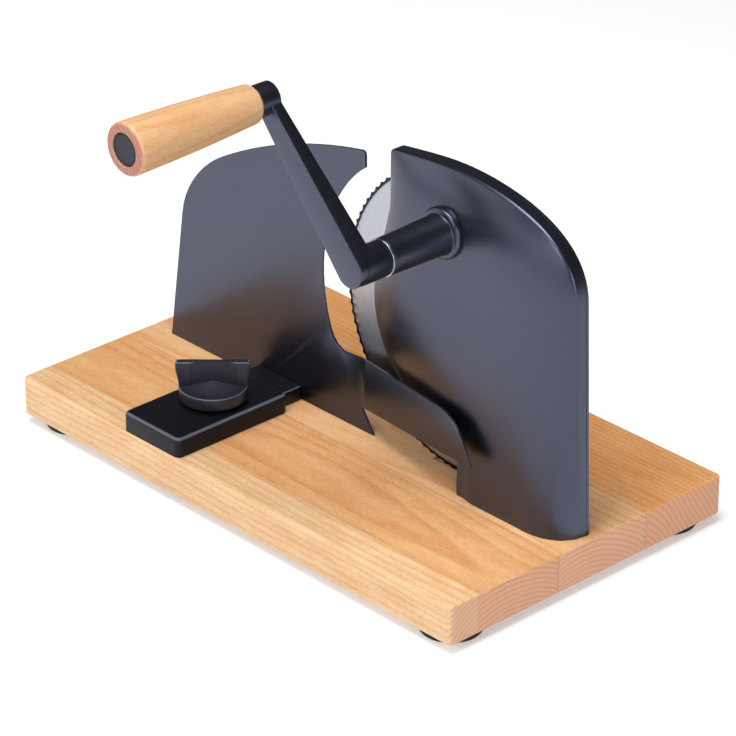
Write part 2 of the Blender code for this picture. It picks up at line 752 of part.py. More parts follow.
def body_form(name, inset, back, levels, made_of=None):
    """The housing's closed outer form, or with an inset its hollow, lofted from its outline to a spine.

    Each ring runs from the board up the left edge, over the top and down the right edge. The first ring is
    the flat back, the second the rim's crisp edge, and the others rise over the domed face to the spine.
    """
    left, right = left_outline(), right_outline()
    count = len(left) - 1
    left_share, right_share = running_shares(left), running_shares(right)
    spine_low = Vector((BLADE_X + SPINE_BASE_OFFSET, 0.0))
    spine_high = Vector((BLADE_X + SPINE_TOP_OFFSET, BLADE_HEIGHT + SPINE_TOP_RISE))
    steps = [(k / levels) ** 1.6 for k in range(levels)]
    rings = []
    for points, share, hand in ((left, left_share, 1), (right, right_share, -1)):
        for k in range(count + 1):
            if hand == -1 and k == count:
                continue
            middle = (left_share[k] + right_share[k]) / 2
            spine = spine_low.lerp(spine_high, middle)
            crown = BODY_BACK - CROWN_BASE + (CROWN_BASE - CROWN_TOP) * middle + inset
            normal = outward(points, k, hand)
            edge = Vector(points[k]) - normal * inset
            rim = BODY_BACK - RIM_BAND
            if hand == 1:
                rim = BODY_BACK - left_band(share[k])
                ramp = left_ramp(share[k])
                power = 1.5 + 0.5 * smooth((share[k] - 0.6) / 0.4)
                soft = 0.0
            else:
                soft = smooth(1 - edge.y / SOFT_CORNER_HEIGHT)
                rim += (RIM_BAND - GAP) * soft
                ramp = 0.0
                power = 2.0
            rim += inset * (1 - soft)
            span = (spine - edge).length
            width = span + (SOFT_CORNER_WIDTH - span) * soft
            column = [(edge + normal * ramp, back)]
            for step in steps:
                spot = edge.lerp(spine, step)
                along = min(1.0, step * span / width)
                gentle = 1 - (1 - along) ** power
                round_over = math.sqrt(max(0.0, 1 - (1 - along) ** 2))
                rise = gentle + (round_over - gentle) * soft
                column.append((spot, rim + (crown - rim) * rise))
            column.append((spine, crown))
            rings.append((hand, k, column))
    form = bmesh.new()
    left_columns = [column for hand, k, column in rings if hand == 1]
    right_columns = [column for hand, k, column in rings if hand == -1]
    columns = left_columns + right_columns[::-1]
    count_up = len(columns[0])
    grid = []
    for column in columns:
        grid.append([form.verts.new((spot.x, y, height(spot.y))) for spot, y in column])
    last = len(columns) - 1
    for k in range(count):
        form.verts.remove(grid[last - k][count_up - 1])
        grid[last - k][count_up - 1] = grid[k][count_up - 1]
    for one, two in zip(grid, grid[1:]):
        for level in range(count_up - 1):
            corners = [one[level], two[level], two[level + 1], one[level + 1]]
            form.faces.new(list(dict.fromkeys(corners)))
    form.faces.new([column[0] for column in grid])
    form.faces.new(grid[0] + grid[last][:-1][::-1])
    return from_bmesh(name, form, made_of)


def cover_post_places():
    """Centres of the cover's screws, as (x, z)."""
    return [polar_spot(BLADE_AXIS, BLADE_RADIUS + beyond, angle) for angle, beyond in COVER_POSTS]


def make_body():
    """The cast housing: domed shell with posts, pads and bores."""
    body = body_form("body_housing", 0.0, BODY_BACK, 7, BLACK_LACQUER)
    for vertex in body.data.vertices:
        vertex.co.z += GAP
    combine(body, rod("hub_pad", HUB_PAD_RADIUS, HUB_PAD, BODY_BACK - RIM_BAND, "Y", CRANK_AXIS), "UNION")
    beyond = BODY_BACK + 2 * WALL
    hollow = body_form("hollow", WALL, BODY_BACK + WALL, 4)
    low = (BLADE_X - BLADE_RADIUS, depth(0.0), height(FLOOR))
    high = (BLADE_X + 2 * BLADE_RADIUS, depth(BOARD_DEPTH), height(2 * body_top()))
    combine(hollow, box("above_floor", low, high), "INTERSECT")
    far = depth(0.0)
    spindle_post = JOURNAL_RADIUS + GAP + BUSH_WALL + 2 * WALL
    bush_seat = GEAR_FRONT - COLLAR_WIDTH - 2 * GAP
    kept = [
        rod("spindle_post", spindle_post, far, bush_seat, "Y", BLADE_AXIS),
        rod("nut_pad", NUT_RADIUS + GAP, far, NUT_PAD, "Y", CRANK_AXIS),
    ]
    for number, centre in enumerate(cover_post_places(), 1):
        kept.append(rod(f"cover_post_{number}", COVER_POST_RADIUS, far, beyond, "Y", centre, steps=SMALL))
    for number, centre in enumerate(body_screw_places(), 1):
        low, high = height(0.0), height(BODY_POST_HEIGHT)
        kept.append(rod(f"body_post_{number}", BODY_POST_RADIUS, low, high, "Z", centre, steps=SMALL))
    combine(hollow, kept)
    combine(body, hollow)
    bush_bore = JOURNAL_RADIUS + 2 * GAP + BUSH_WALL
    bores = [
        rod("bush_bore", bush_bore, bush_seat - JOURNAL_LENGTH, beyond, "Y", BLADE_AXIS),
        rod("spigot_bore", SPIGOT_RADIUS + GAP, far, beyond, "Y", CRANK_AXIS),
    ]
    for number, centre in enumerate(cover_post_places(), 1):
        end = BODY_BACK - COVER_SCREW[3]
        bores.append(shank_hole(f"cover_screw_hole_{number}", COVER_SCREW, "Y", centre, end, beyond))
    for number, centre in enumerate(body_screw_places(), 1):
        end = under(COUNTERBORE_DEPTH + BODY_SCREW[3] + GAP)
        bores.append(shank_hole(f"body_screw_hole_{number}", BODY_SCREW, "Z", centre, height(-GAP), end))
    combine(body, bores)


def make_cover():
    """The flat rear cover round the blade, with its screws."""
    left, right = left_outline(), right_outline()
    shares = running_shares(left)
    ring = []
    for k, point in enumerate(left):
        spot = Vector(point) + outward(left, k, 1) * left_ramp(shares[k])
        ring.append((spot.x, height(spot.y) + GAP))
    ring += [(x, height(z) + GAP) for x, z in right[-2::-1]]
    front = BLADE_REAR - COVER_THICKNESS
    cover = plate("back_cover", ring, front, BLADE_REAR, BLACK_LACQUER)
    opening = BLADE_RADIUS + COVER_CLEARANCE
    holes = [rod("cover_opening", opening, front - GAP, BLADE_REAR + GAP, "Y", BLADE_AXIS, steps=60)]
    for number, centre in enumerate(cover_post_places(), 1):
        holes.append(countersink(f"cover_hole_{number}", COVER_SCREW, centre, BLADE_REAR, COVER_THICKNESS))
        flush_screw(f"cover_screw_{number}", COVER_SCREW, centre, BLADE_REAR)
    combine(cover, holes)


def make_base_screws():
    """Screws from under the board into the blade housing and the clamp housing."""
    seat = under(COUNTERBORE_DEPTH - GAP)
    for number, centre in enumerate(body_screw_places(), 1):
        pan_screw_up(f"body_screw_{number}", BODY_SCREW, centre, seat)
    for number, centre in enumerate(housing_screw_places(), 1):
        pan_screw_up(f"clamp_housing_screw_{number}", HOUSING_SCREW, centre, seat)


# Drive


def gear_outline(teeth, phase):
    """Involute tooth outline in polar steps, as (radius, angle) points; phase is the angle of a tooth's middle."""
    pitch = GEAR_MODULE * teeth / 2
    base = pitch * math.cos(PRESSURE_ANGLE)
    tip = pitch + GEAR_MODULE
    root = pitch - 1.25 * GEAR_MODULE
    half = math.pi / (2 * teeth) - BACKLASH / (2 * pitch) + math.tan(PRESSURE_ANGLE) - PRESSURE_ANGLE
    flank = []
    for radius in (root, pitch, tip):
        pressure = math.acos(min(1.0, base / radius))
        flank.append((radius, half - (math.tan(pressure) - pressure)))
    tooth = [(radius, -angle) for radius, angle in flank] + flank[::-1]
    return [(radius, phase + 2 * math.pi * k / teeth + angle) for k in range(teeth) for radius, angle in tooth]


def make_gear(name, teeth, phase, axis, setback=0.0):
    """A spur gear's toothed disc, set back from the blade."""
    outline = [
        (axis[0] + radius * math.cos(angle), axis[1] + radius * math.sin(angle))
        for radius, angle in gear_outline(teeth, phase)
    ]
    return plate(name, outline, GEAR_FRONT - setback, GEAR_BACK - setback, GEAR_PLASTIC)


def make_drive():
    """Bearing tube, crank shaft, bushes, nut, driving gear and clip."""
    bore = TUBE_BORE
    spigot_end = TUBE_BACK + SPIGOT_LENGTH
    flange_front = TUBE_BACK - FLANGE_WIDTH
    round_off = FLANGE_WIDTH / 3
    profile = [
        (bore, spigot_end),
        (SPIGOT_RADIUS, spigot_end),
        (SPIGOT_RADIUS, TUBE_BACK),
        (FLANGE_RADIUS, TUBE_BACK),
        (FLANGE_RADIUS, flange_front + round_off),
        (FLANGE_RADIUS - round_off * 0.3, flange_front + round_off * 0.3),
        (FLANGE_RADIUS - round_off, flange_front),
        (TUBE_BACK_RADIUS, flange_front - GAP),
        (TUBE_FRONT_RADIUS + GAP, TUBE_FRONT + GAP),
        (TUBE_FRONT_RADIUS, TUBE_FRONT),
        (bore, TUBE_FRONT),
        (bore, spigot_end),
    ]
    turned("bearing_tube", profile, "Y", CRANK_AXIS, BLACK_LACQUER, FINE)
    nut_front = NUT_PAD + GAP
    sleeve("tube_nut", SPIGOT_RADIUS + GAP, NUT_RADIUS, nut_front, nut_front + NUT_WIDTH, "Y", CRANK_AXIS, STEEL)
    outer = bore - GAP
    inner = SHAFT_RADIUS + GAP
    front_end = TUBE_FRONT + FRONT_BUSH_LENGTH
    rear_start = spigot_end - REAR_BUSH_LENGTH
    sleeve("shaft_bush_front", inner, outer, TUBE_FRONT, front_end, "Y", CRANK_AXIS, BRASS)
    sleeve("shaft_bush_rear", inner, outer, rear_start, spigot_end, "Y", CRANK_AXIS, BRASS)
    sleeve("thrust_ring", inner, RING_RADIUS, RING_FRONT, RING_FRONT + RING_WIDTH, "Y", CRANK_AXIS, STEEL, FINE)
    drive_back = GEAR_BACK - DRIVE_SETBACK
    groove_front = drive_back + GAP / 2
    groove_back = groove_front + CLIP_WIDTH + GAP
    shaft_back = groove_back + GAP
    neck = SHAFT_RADIUS - CLIP_GROOVE
    shaft = [
        (0.0, shaft_back),
        (SHAFT_RADIUS, shaft_back),
        (SHAFT_RADIUS, groove_back),
        (neck, groove_back),
        (neck, groove_front),
        (SHAFT_RADIUS, groove_front),
        (SHAFT_RADIUS, ARM_FRONT + SHAFT_SEAT + GAP),
        (0.0, ARM_FRONT + SHAFT_SEAT + GAP),
    ]
    turned("crank_shaft", shaft, "Y", CRANK_AXIS, STEEL)
    clip_front = groove_front + GAP / 2
    sleeve("gear_clip", neck + GAP, CLIP_RADIUS, clip_front, clip_front + CLIP_WIDTH, "Y", CRANK_AXIS, STEEL)
    towards_blade = math.atan2(-CRANK_RISE, -CRANK_OFFSET)
    gear = make_gear("drive_gear", DRIVE_TEETH, towards_blade, CRANK_AXIS, DRIVE_SETBACK)
    front = drive_back - GEAR_WIDTH
    combine(gear, rod("drive_gear_bore", SHAFT_RADIUS + GAP, front - GAP, drive_back + GAP, "Y", CRANK_AXIS))


def make_spindle():
    """Blade spindle with its bush, driven gear, blade and clamp screw."""
    bush_back = GEAR_FRONT - COLLAR_WIDTH - 2 * GAP
    bush_front = bush_back - JOURNAL_LENGTH + GAP
    bush_inner = JOURNAL_RADIUS + GAP
    sleeve("spindle_bush", bush_inner, bush_inner + BUSH_WALL, bush_front, bush_back, "Y", BLADE_AXIS, BRASS)
    collar_front = GEAR_FRONT - GAP - COLLAR_WIDTH
    tapped = CLAMP_SHANK_RADIUS + GAP
    profile = [
        (0.0, BLADE_REAR - CLAMP_SHANK_LENGTH - GAP),
        (tapped, BLADE_REAR - CLAMP_SHANK_LENGTH - GAP),
        (tapped, BLADE_REAR),
        (SEAT_RADIUS, BLADE_REAR),
        (SEAT_RADIUS, GEAR_FRONT - GAP),
        (COLLAR_RADIUS, GEAR_FRONT - GAP),
        (COLLAR_RADIUS, collar_front),
        (JOURNAL_RADIUS, collar_front),
        (JOURNAL_RADIUS, bush_front),
        (0.0, bush_front),
    ]
    turned("blade_spindle", profile, "Y", BLADE_AXIS, STEEL)
    towards_crank = math.atan2(CRANK_RISE, CRANK_OFFSET)
    gap_phase = towards_crank + math.pi / DRIVEN_TEETH
    gear = make_gear("driven_gear", DRIVEN_TEETH, gap_phase, BLADE_AXIS)
    hub_end = GEAR_BACK + GEAR_HUB_HEIGHT
    raised = [rod("gear_hub", GEAR_HUB_RADIUS, GEAR_BACK - GEAR_WIDTH / 2, hub_end, "Y", BLADE_AXIS)]
    stud_end = BLADE_REAR - BLADE_THICKNESS / 2
    for number, centre in enumerate(arc(BLADE_AXIS, STUD_CIRCLE, 90, 450, STUD_COUNT), 1):
        foot = GEAR_BACK - GEAR_WIDTH / 3
        raised.append(rod(f"gear_stud_{number}", STUD_RADIUS, foot, stud_end, "Y", centre, steps=SMALL))
    combine(gear, raised, "UNION")
    bore_end = hub_end + GAP
    combine(gear, rod("driven_gear_bore", SEAT_RADIUS + GAP, GEAR_FRONT - GAP, bore_end, "Y", BLADE_AXIS))
    make_blade()
    head_front = BLADE_REAR + GAP
    head_back = head_front + CLAMP_HEAD_HEIGHT
    screw = [
        (0.0, head_back),
        (CLAMP_HEAD_RADIUS - CLAMP_HEAD_HEIGHT / 2, head_back),
        (CLAMP_HEAD_RADIUS, head_back - CLAMP_HEAD_HEIGHT / 2),
        (CLAMP_HEAD_RADIUS, head_front),
        (CLAMP_SHANK_RADIUS, head_front),
        (CLAMP_SHANK_RADIUS, BLADE_REAR - CLAMP_SHANK_LENGTH),
        (0.0, BLADE_REAR - CLAMP_SHANK_LENGTH),
    ]
    clamp = turned("blade_clamp_screw", screw, "Y", BLADE_AXIS, STEEL, FINE)
    reach = CLAMP_HEAD_RADIUS * 0.7
    low = (BLADE_AXIS[0] - reach, head_back - COIN_SLOT_DEPTH, BLADE_AXIS[1] - COIN_SLOT_WIDTH / 2)
    high = (BLADE_AXIS[0] + reach, head_back + COIN_SLOT_DEPTH, BLADE_AXIS[1] + COIN_SLOT_WIDTH / 2)
    combine(clamp, box("coin_slot", low, high))


def make_blade():
    """The round blade: ground from both sides to a scalloped edge, with its bore and drive holes."""
    form = bmesh.new()
    middle = (BLADE_FACE + BLADE_REAR) / 2
    edge = []
    for k in range(WAVE_POINTS * BLADE_WAVES):
        hollow = WAVE_HEIGHT * math.sin(math.pi * (k % WAVE_POINTS) / WAVE_POINTS)
        turn = 2 * math.pi * k / (WAVE_POINTS * BLADE_WAVES)
        edge.append(form.verts.new(polar(BLADE_AXIS, BLADE_RADIUS - hollow, turn, middle)))
    for face in (BLADE_FACE, BLADE_REAR):
        ring = []
        for wave in range(BLADE_WAVES // 2):
            turn = 4 * math.pi * (wave + 0.25) / BLADE_WAVES
            ring.append(form.verts.new(polar(BLADE_AXIS, BLADE_RADIUS - GRIND_WIDTH, turn, face)))
        for wave, near in enumerate(ring):
            after = ring[(wave + 1) % len(ring)]
            first = 2 * WAVE_POINTS * wave
            fan = [edge[(first + k) % len(edge)] for k in range(2 * WAVE_POINTS + 1)]
            for one, two in zip(fan, fan[1:]):
                form.faces.new([near, one, two])
            form.faces.new([near, fan[-1], after])
        form.faces.new(ring)
    blade = from_bmesh("blade", form, BLADE_STEEL)
    low, high = BLADE_FACE - GAP, BLADE_REAR + GAP
    holes = [rod("blade_bore", SEAT_RADIUS + GAP, low, high, "Y", BLADE_AXIS)]
    for number, centre in enumerate(arc(BLADE_AXIS, STUD_CIRCLE, 90, 450, STUD_COUNT), 1):
        holes.append(rod(f"drive_hole_{number}", STUD_RADIUS + GAP, low, high, "Y", centre, steps=SMALL))
    combine(blade, holes)


def polar(axis, radius, angle, y):
    """A point round an axis along Y."""
    return (axis[0] + radius * math.cos(angle), y, axis[1] + radius * math.sin(angle))


# Crank


def arm_outline():
    """The crank arm from the shaft to the handle: two round ends and the tangents between them, as (x, y)."""
    tilt = math.degrees(math.asin((ARM_END_RADIUS - ARM_TIP_RADIUS) / CRANK_RADIUS))
    points = arc((0.0, 0.0), ARM_END_RADIUS, 90 - tilt, 270 + tilt, 14)
    points.append((ARM_END_RADIUS * math.sin(math.radians(tilt)), -ARM_END_RADIUS * math.cos(math.radians(tilt))))
    points += arc((CRANK_RADIUS, 0.0), ARM_TIP_RADIUS, -90 + tilt, 90 - tilt, 8)
    points.append(
        (
            CRANK_RADIUS + ARM_TIP_RADIUS * math.sin(math.radians(tilt)),
            ARM_TIP_RADIUS * math.cos(math.radians(tilt)),
        )
    )
    return points


def make_crank():
    """The cast arm with its two bosses, and the set screw that holds it on the shaft."""
    turn = math.cos(CRANK_ANGLE), math.sin(CRANK_ANGLE)
    outline = [
        (CRANK_AXIS[0] + x * turn[0] - y * turn[1], CRANK_AXIS[1] + x * turn[1] + y * turn[0])
        for x, y in arm_outline()
    ]
    arm = plate("crank_arm", outline, ARM_FRONT, ARM_FRONT + ARM_THICK, BLACK_LACQUER)
    for vertex in arm.data.vertices:
        if vertex.co.y > ARM_FRONT + ARM_THICK / 2:
            reach = (vertex.co.x - CRANK_AXIS[0]) * turn[0] + (vertex.co.z - CRANK_AXIS[1]) * turn[1]
            share = min(1.0, max(0.0, reach / CRANK_RADIUS))
            vertex.co.y = ARM_FRONT + ARM_THICK + (ARM_THIN - ARM_THICK) * share
    soften(arm, ARM_EDGE, 1, 50)
    boss_front = ARM_FRONT - HANDLE_BOSS_PROUD
    boss_back = ARM_FRONT + ARM_THIN
    edge = ARM_EDGE
    boss = [
        (0.0, boss_back),
        (HANDLE_BOSS_RADIUS, boss_back),
        (HANDLE_BOSS_RADIUS, boss_front + edge),
        (HANDLE_BOSS_RADIUS - edge, boss_front),
        (0.0, boss_front),
    ]
    raised = [
        rod("shaft_boss", BOSS_RADIUS, ARM_FRONT + ARM_THICK / 2, BOSS_BACK, "Y", CRANK_AXIS),
        turned("handle_boss", boss, "Y", HANDLE_AXIS),
    ]
    combine(arm, raised, "UNION")
    middle = BOSS_BACK - BOSS_LENGTH / 2
    spot = Vector((CRANK_AXIS[0], middle, CRANK_AXIS[1]))
    aim = Vector((math.cos(SET_SCREW_ANGLE), 0.0, math.sin(SET_SCREW_ANGLE)))
    start = SHAFT_RADIUS + GAP
    end = BOSS_RADIUS - 2 * GAP
    sockets = [
        rod("shaft_socket", SHAFT_RADIUS + GAP, ARM_FRONT + SHAFT_SEAT, BOSS_BACK + GAP, "Y", CRANK_AXIS),
        rod("pin_socket", PIN_RADIUS + GAP, boss_front - GAP, ARM_FRONT + ARM_THIN / 2, "Y", HANDLE_AXIS),
        radial_rod("set_screw_hole", SET_SCREW_RADIUS + GAP, spot, aim, start - 2 * GAP, BOSS_RADIUS + GAP),
    ]
    combine(arm, sockets)
    radial_rod("arm_set_screw", SET_SCREW_RADIUS, spot, aim, start, end, STEEL)


def radial_rod(name, radius, spot, aim, near, far, made_of=None):
    """A small cylinder that points away from an axis."""
    made = rod(name, radius, near, far, "Z", (0.0, 0.0), made_of, SMALL)
    made.location = spot
    made.rotation_euler = aim.to_track_quat("Z", "Y").to_euler()
    return made


def make_handle():
    """The turned beech handle on its pin, with the cap that closes its free end."""
    bore = PIN_RADIUS + GAP
    pocket = PIN_HEAD_RADIUS + GAP
    cap_bore = CAP_RADIUS + GAP
    cap_seat = HANDLE_END + CAP_RECESS + CAP_WIDTH + GAP
    head_seat = cap_seat + PIN_HEAD_WIDTH + 2 * GAP
    profile = [(bore, HANDLE_START), (HANDLE_ARM_RADIUS - HANDLE_ROUND, HANDLE_START)]
    first = HANDLE_START - HANDLE_ROUND
    last = HANDLE_END + HANDLE_ROUND
    for point in arc((HANDLE_ARM_RADIUS - HANDLE_ROUND, first), HANDLE_ROUND, 60, 0, 2):
        profile.append(point)
    for k in range(5):
        share = k / 4
        swell = HANDLE_BELLY * math.sin(math.pi * share)
        radius = HANDLE_ARM_RADIUS + (HANDLE_FREE_RADIUS - HANDLE_ARM_RADIUS) * share + swell
        profile.append((radius, first + (last - first) * share))
    for point in arc((HANDLE_FREE_RADIUS - HANDLE_ROUND, last), HANDLE_ROUND, -30, -90, 2):
        profile.append(point)
    profile += [
        (HANDLE_FREE_RADIUS - HANDLE_ROUND, HANDLE_END),
        (cap_bore, HANDLE_END),
        (cap_bore, cap_seat),
        (pocket, cap_seat),
        (pocket, head_seat),
        (bore, head_seat),
        (bore, HANDLE_START),
    ]
    turned("handle_grip", profile, "Y", HANDLE_AXIS, HANDLE_BEECH, FINE)
    head_back = head_seat - GAP
    head_front = head_back - PIN_HEAD_WIDTH
    pin_end = ARM_FRONT + ARM_THIN / 2 - GAP
    pin = [
        (0.0, pin_end),
        (PIN_RADIUS, pin_end),
        (PIN_RADIUS, head_back),
        (PIN_HEAD_RADIUS, head_back),
        (PIN_HEAD_RADIUS, head_front),
        (0.0, head_front),
    ]
    turned("handle_pin", pin, "Y", HANDLE_AXIS, STEEL)
    cap_front = HANDLE_END + CAP_RECESS
    cap = [
        (0.0, cap_front + CAP_WIDTH),
        (CAP_RADIUS, cap_front + CAP_WIDTH),
        (CAP_RADIUS, cap_front + CAP_RECESS),
        (CAP_RADIUS - CAP_RECESS, cap_front),
        (0.0, cap_front),
    ]
    turned("handle_cap", cap, "Y", HANDLE_AXIS, GREY_PLASTIC, FINE)


# Fence


def fence_outline():
    """The unbent sheet of the fence and its slice guide, as (x, height)."""
    bottom = GAP
    radius = BLADE_RADIUS + FENCE_CLEARANCE
    tip_rise = FENCE_TOP - FENCE_TIP - BLADE_HEIGHT
    right = BLADE_X - math.sqrt(radius**2 - tip_rise**2)
    low_left = (FENCE_LEFT, bottom)
    shoulder_low = (FENCE_LEFT + FENCE_LEFT_SLOPE * FENCE_SHOULDER_LOW, FENCE_SHOULDER_LOW)
    shoulder_high = (BLADE_X - FENCE_SHOULDER_REACH, FENCE_SHOULDER_HIGH)
    rise = math.atan2(FENCE_TOP - FENCE_SHOULDER_HIGH, right - shoulder_high[0])
    chord = math.dist(shoulder_high, (right, FENCE_TOP))
    slope = rise + math.asin(chord / 2 / FENCE_TOP_RADIUS)
    low_pull = Vector(shoulder_low) + Vector((FENCE_LEFT_SLOPE, 1.0)) * FENCE_SHOULDER_PULL
    high_pull = Vector(shoulder_high) - Vector((math.cos(slope), math.sin(slope))) * FENCE_SHOULDER_PULL
    points = line(low_left, shoulder_low, 1)
    points += bend_between(shoulder_low, low_pull, high_pull, shoulder_high, 10)
    corner_start = (right - FENCE_CORNER, FENCE_TOP)
    points += arc_between(shoulder_high, corner_start, FENCE_TOP_RADIUS, 14)
    points += arc((right - FENCE_CORNER, FENCE_TOP - FENCE_CORNER), FENCE_CORNER, 90, 0, 3)
    points.append((right, FENCE_TOP - FENCE_CORNER))
    upper = math.degrees(math.acos((right - BLADE_X) / radius))
    root_x = GUIDE_START - GUIDE_FOOT_X
    root_top = (root_x, GUIDE_TOP)
    root_angle = math.pi + math.asin((BLADE_HEIGHT - GUIDE_TOP - GUIDE_ROOT) / radius)
    root = (BLADE_X + radius * math.cos(root_angle), BLADE_HEIGHT + radius * math.sin(root_angle))
    points += arc((BLADE_X, BLADE_HEIGHT), radius, upper, math.degrees(root_angle), 22)
    pull = GUIDE_ROOT / 2
    down = Vector((-math.sin(root_angle), math.cos(root_angle)))
    top_pull = (root_x - pull, GUIDE_TOP - GUIDE_TOP_RISE * pull)
    points += bend_between(root, Vector(root) + down * pull, top_pull, root_top, 4)
    tip = (GUIDE_START + GUIDE_LENGTH, GUIDE_TIP_HEIGHT)
    shoulder_x = tip[0] - GUIDE_END_DEPTH
    shoulder = (shoulder_x, GUIDE_TOP + GUIDE_TOP_RISE * (shoulder_x - root_x))
    shoulder_pull = Vector(shoulder) + Vector((1.0, GUIDE_TOP_RISE)) * GUIDE_END_PULL
    tip_pull = Vector(tip) + Vector((-0.46, 0.89)) * GUIDE_END_PULL
    points += line(root_top, shoulder, 1)
    points += bend_between(shoulder, shoulder_pull, tip_pull, tip, 9)
    points.append(tip)
    points.append((GUIDE_START, GUIDE_LOW))
    points.append((GUIDE_FOOT_X, bottom))
    return points


def bend_guide(sheet):
    """Bends the slice guide forward, away from the blade, round an upright line at its root."""
    form = bmesh.new()
    form.from_mesh(sheet.data)
    folds = 4
    for k in range(folds + 1):
        spot = (GUIDE_START + GUIDE_BEND_LENGTH * k / folds, 0.0, 0.0)
        geometry = list(form.verts) + list(form.edges) + list(form.faces)
        bmesh.ops.bisect_plane(form, geom=geometry, dist=0.000001, plane_co=spot, plane_no=(1.0, 0.0, 0.0))
    radius = GUIDE_BEND_LENGTH / GUIDE_BEND
    for vertex in form.verts:
        reach = vertex.co.x - GUIDE_START
        if reach <= 0 or vertex.co.z < height(GUIDE_LOW) - GAP:
            continue
        turn = min(reach, GUIDE_BEND_LENGTH) / radius
        rest = max(0.0, reach - GUIDE_BEND_LENGTH)
        across = vertex.co.y - FENCE_FRONT
        x = GUIDE_START + (radius + across) * math.sin(turn) + rest * math.cos(turn)
        y = FENCE_FRONT - radius + (radius + across) * math.cos(turn) - rest * math.sin(turn)
        vertex.co.x = x
        vertex.co.y = y
    bmesh.ops.recalc_face_normals(form, faces=form.faces)
    form.to_mesh(sheet.data)
    form.free()


def make_fence():
    """The fence plate, bent from one sheet, and its countersunk screws."""
    outline = [(x, height(z)) for x, z in fence_outline()]
    fence = plate("fence_plate", outline, FENCE_FRONT, FENCE_REAR, BLACK_LACQUER)
    bend_guide(fence)
    holes = []
    for number, side in enumerate((-1, 1), 1):
        centre = (CLAMP_X + side * FENCE_SCREW_SPREAD, height(FENCE_SCREW_HEIGHT))
        holes.append(countersink(f"fence_hole_{number}", FENCE_SCREW, centre, FENCE_REAR, FENCE_THICKNESS))
        flush_screw(f"fence_screw_{number}", FENCE_SCREW, centre, FENCE_REAR)
    combine(fence, holes)


def make_slider():
    """The slider that carries the fence, slotted for the clamp stud."""
    half = SLIDER_WIDTH / 2
    low = (CLAMP_X - half, SLIDER_BACK - SLIDER_LENGTH, height(GAP))
    high = (CLAMP_X + half, SLIDER_BACK, height(SLIDER_TOP))
    slider = soften(box("fence_slider", low, high, BLACK_PLASTIC), SLIDER_ROUND, 2, 40)
    wide = STUD_BOLT_RADIUS + 2 * GAP
    slot_low = KNOB_Y - CLOSE_TRAVEL - wide - GAP
    slot_high = KNOB_Y + OPEN_TRAVEL + wide + GAP
    slot = box(
        "slider_slot",
        (CLAMP_X - wide, slot_low, height(-GAP)),
        (CLAMP_X + wide, slot_high, height(SLIDER_TOP + GAP)),
        corner=wide * 0.95,
        corner_steps=4,
    )
    holes = [slot]
    for side in (-1, 1):
        centre = (CLAMP_X + side * FENCE_SCREW_SPREAD, height(FENCE_SCREW_HEIGHT))
        end = FENCE_REAR - FENCE_SCREW[3] - GAP
        holes.append(shank_hole(f"slider_hole_{side}", FENCE_SCREW, "Y", centre, end, SLIDER_BACK + GAP))
    combine(slider, holes)


def make_clamp():
    """The clamp housing over the slider, the knob, its stud and the insert in the board."""
    half = CLAMP_WIDTH / 2
    low = (CLAMP_X - half, depth(CLAMP_FRONT), height(GAP))
    high = (CLAMP_X + half, depth(CLAMP_FRONT + CLAMP_LENGTH), height(CLAMP_TOP))
    housing = box("clamp_housing", low, high, BLACK_PLASTIC, corner=CLAMP_CORNER)
    form = bmesh.new()
    form.from_mesh(housing.data)
    rim = [edge for edge in form.edges if min(vertex.co.z for vertex in edge.verts) > height(CLAMP_TOP) - GAP]
    bmesh.ops.bevel(form, geom=rim, offset=CLAMP_ROUND, segments=3, profile=0.5, affect="EDGES")
    form.to_mesh(housing.data)
    form.free()
    channel_half = SLIDER_WIDTH / 2 + CHANNEL_CLEARANCE
    channel = box(
        "channel",
        (CLAMP_X - channel_half, depth(CLAMP_FRONT + CLAMP_END_WALL), height(-GAP)),
        (CLAMP_X + channel_half, depth(CLAMP_FRONT + CLAMP_LENGTH) + GAP, height(CHANNEL_TOP)),
    )
    centre = (CLAMP_X, KNOB_Y)
    hole = STUD_BOLT_RADIUS + GAP
    holes = [channel, rod("roof_hole", hole, height(0.0), height(CLAMP_TOP + GAP), "Z", centre, steps=SMALL)]
    for number, spot in enumerate(housing_screw_places(), 1):
        end = under(COUNTERBORE_DEPTH + HOUSING_SCREW[3] + GAP)
        holes.append(shank_hole(f"housing_hole_{number}", HOUSING_SCREW, "Z", spot, height(-GAP), end))
    combine(housing, holes)
    insert = [
        (STUD_BOLT_RADIUS + GAP, under(INSERT_LENGTH + GAP)),
        (INSERT_RADIUS, under(INSERT_LENGTH + GAP)),
        (INSERT_RADIUS, under(INSERT_FLANGE_WIDTH + GAP)),
        (INSERT_FLANGE_RADIUS, under(INSERT_FLANGE_WIDTH + GAP)),
        (INSERT_FLANGE_RADIUS, under(GAP)),
        (STUD_BOLT_RADIUS + GAP, under(GAP)),
        (STUD_BOLT_RADIUS + GAP, under(INSERT_LENGTH + GAP)),
    ]
    turned("board_insert", insert, "Z", centre, BRASS, SMALL)
    stud_seat = height(KNOB_BOTTOM + GAP)
    stud = [
        (0.0, stud_seat + STUD_HEAD_HEIGHT),
        (STUD_HEAD_RADIUS, stud_seat + STUD_HEAD_HEIGHT),
        (STUD_HEAD_RADIUS, stud_seat),
        (STUD_BOLT_RADIUS, stud_seat),
        (STUD_BOLT_RADIUS, under(STUD_END)),
        (0.0, under(STUD_END)),
    ]
    turned("clamp_stud", stud, "Z", centre, STEEL, SMALL)
    make_knob(centre, stud_seat + STUD_HEAD_HEIGHT + GAP)


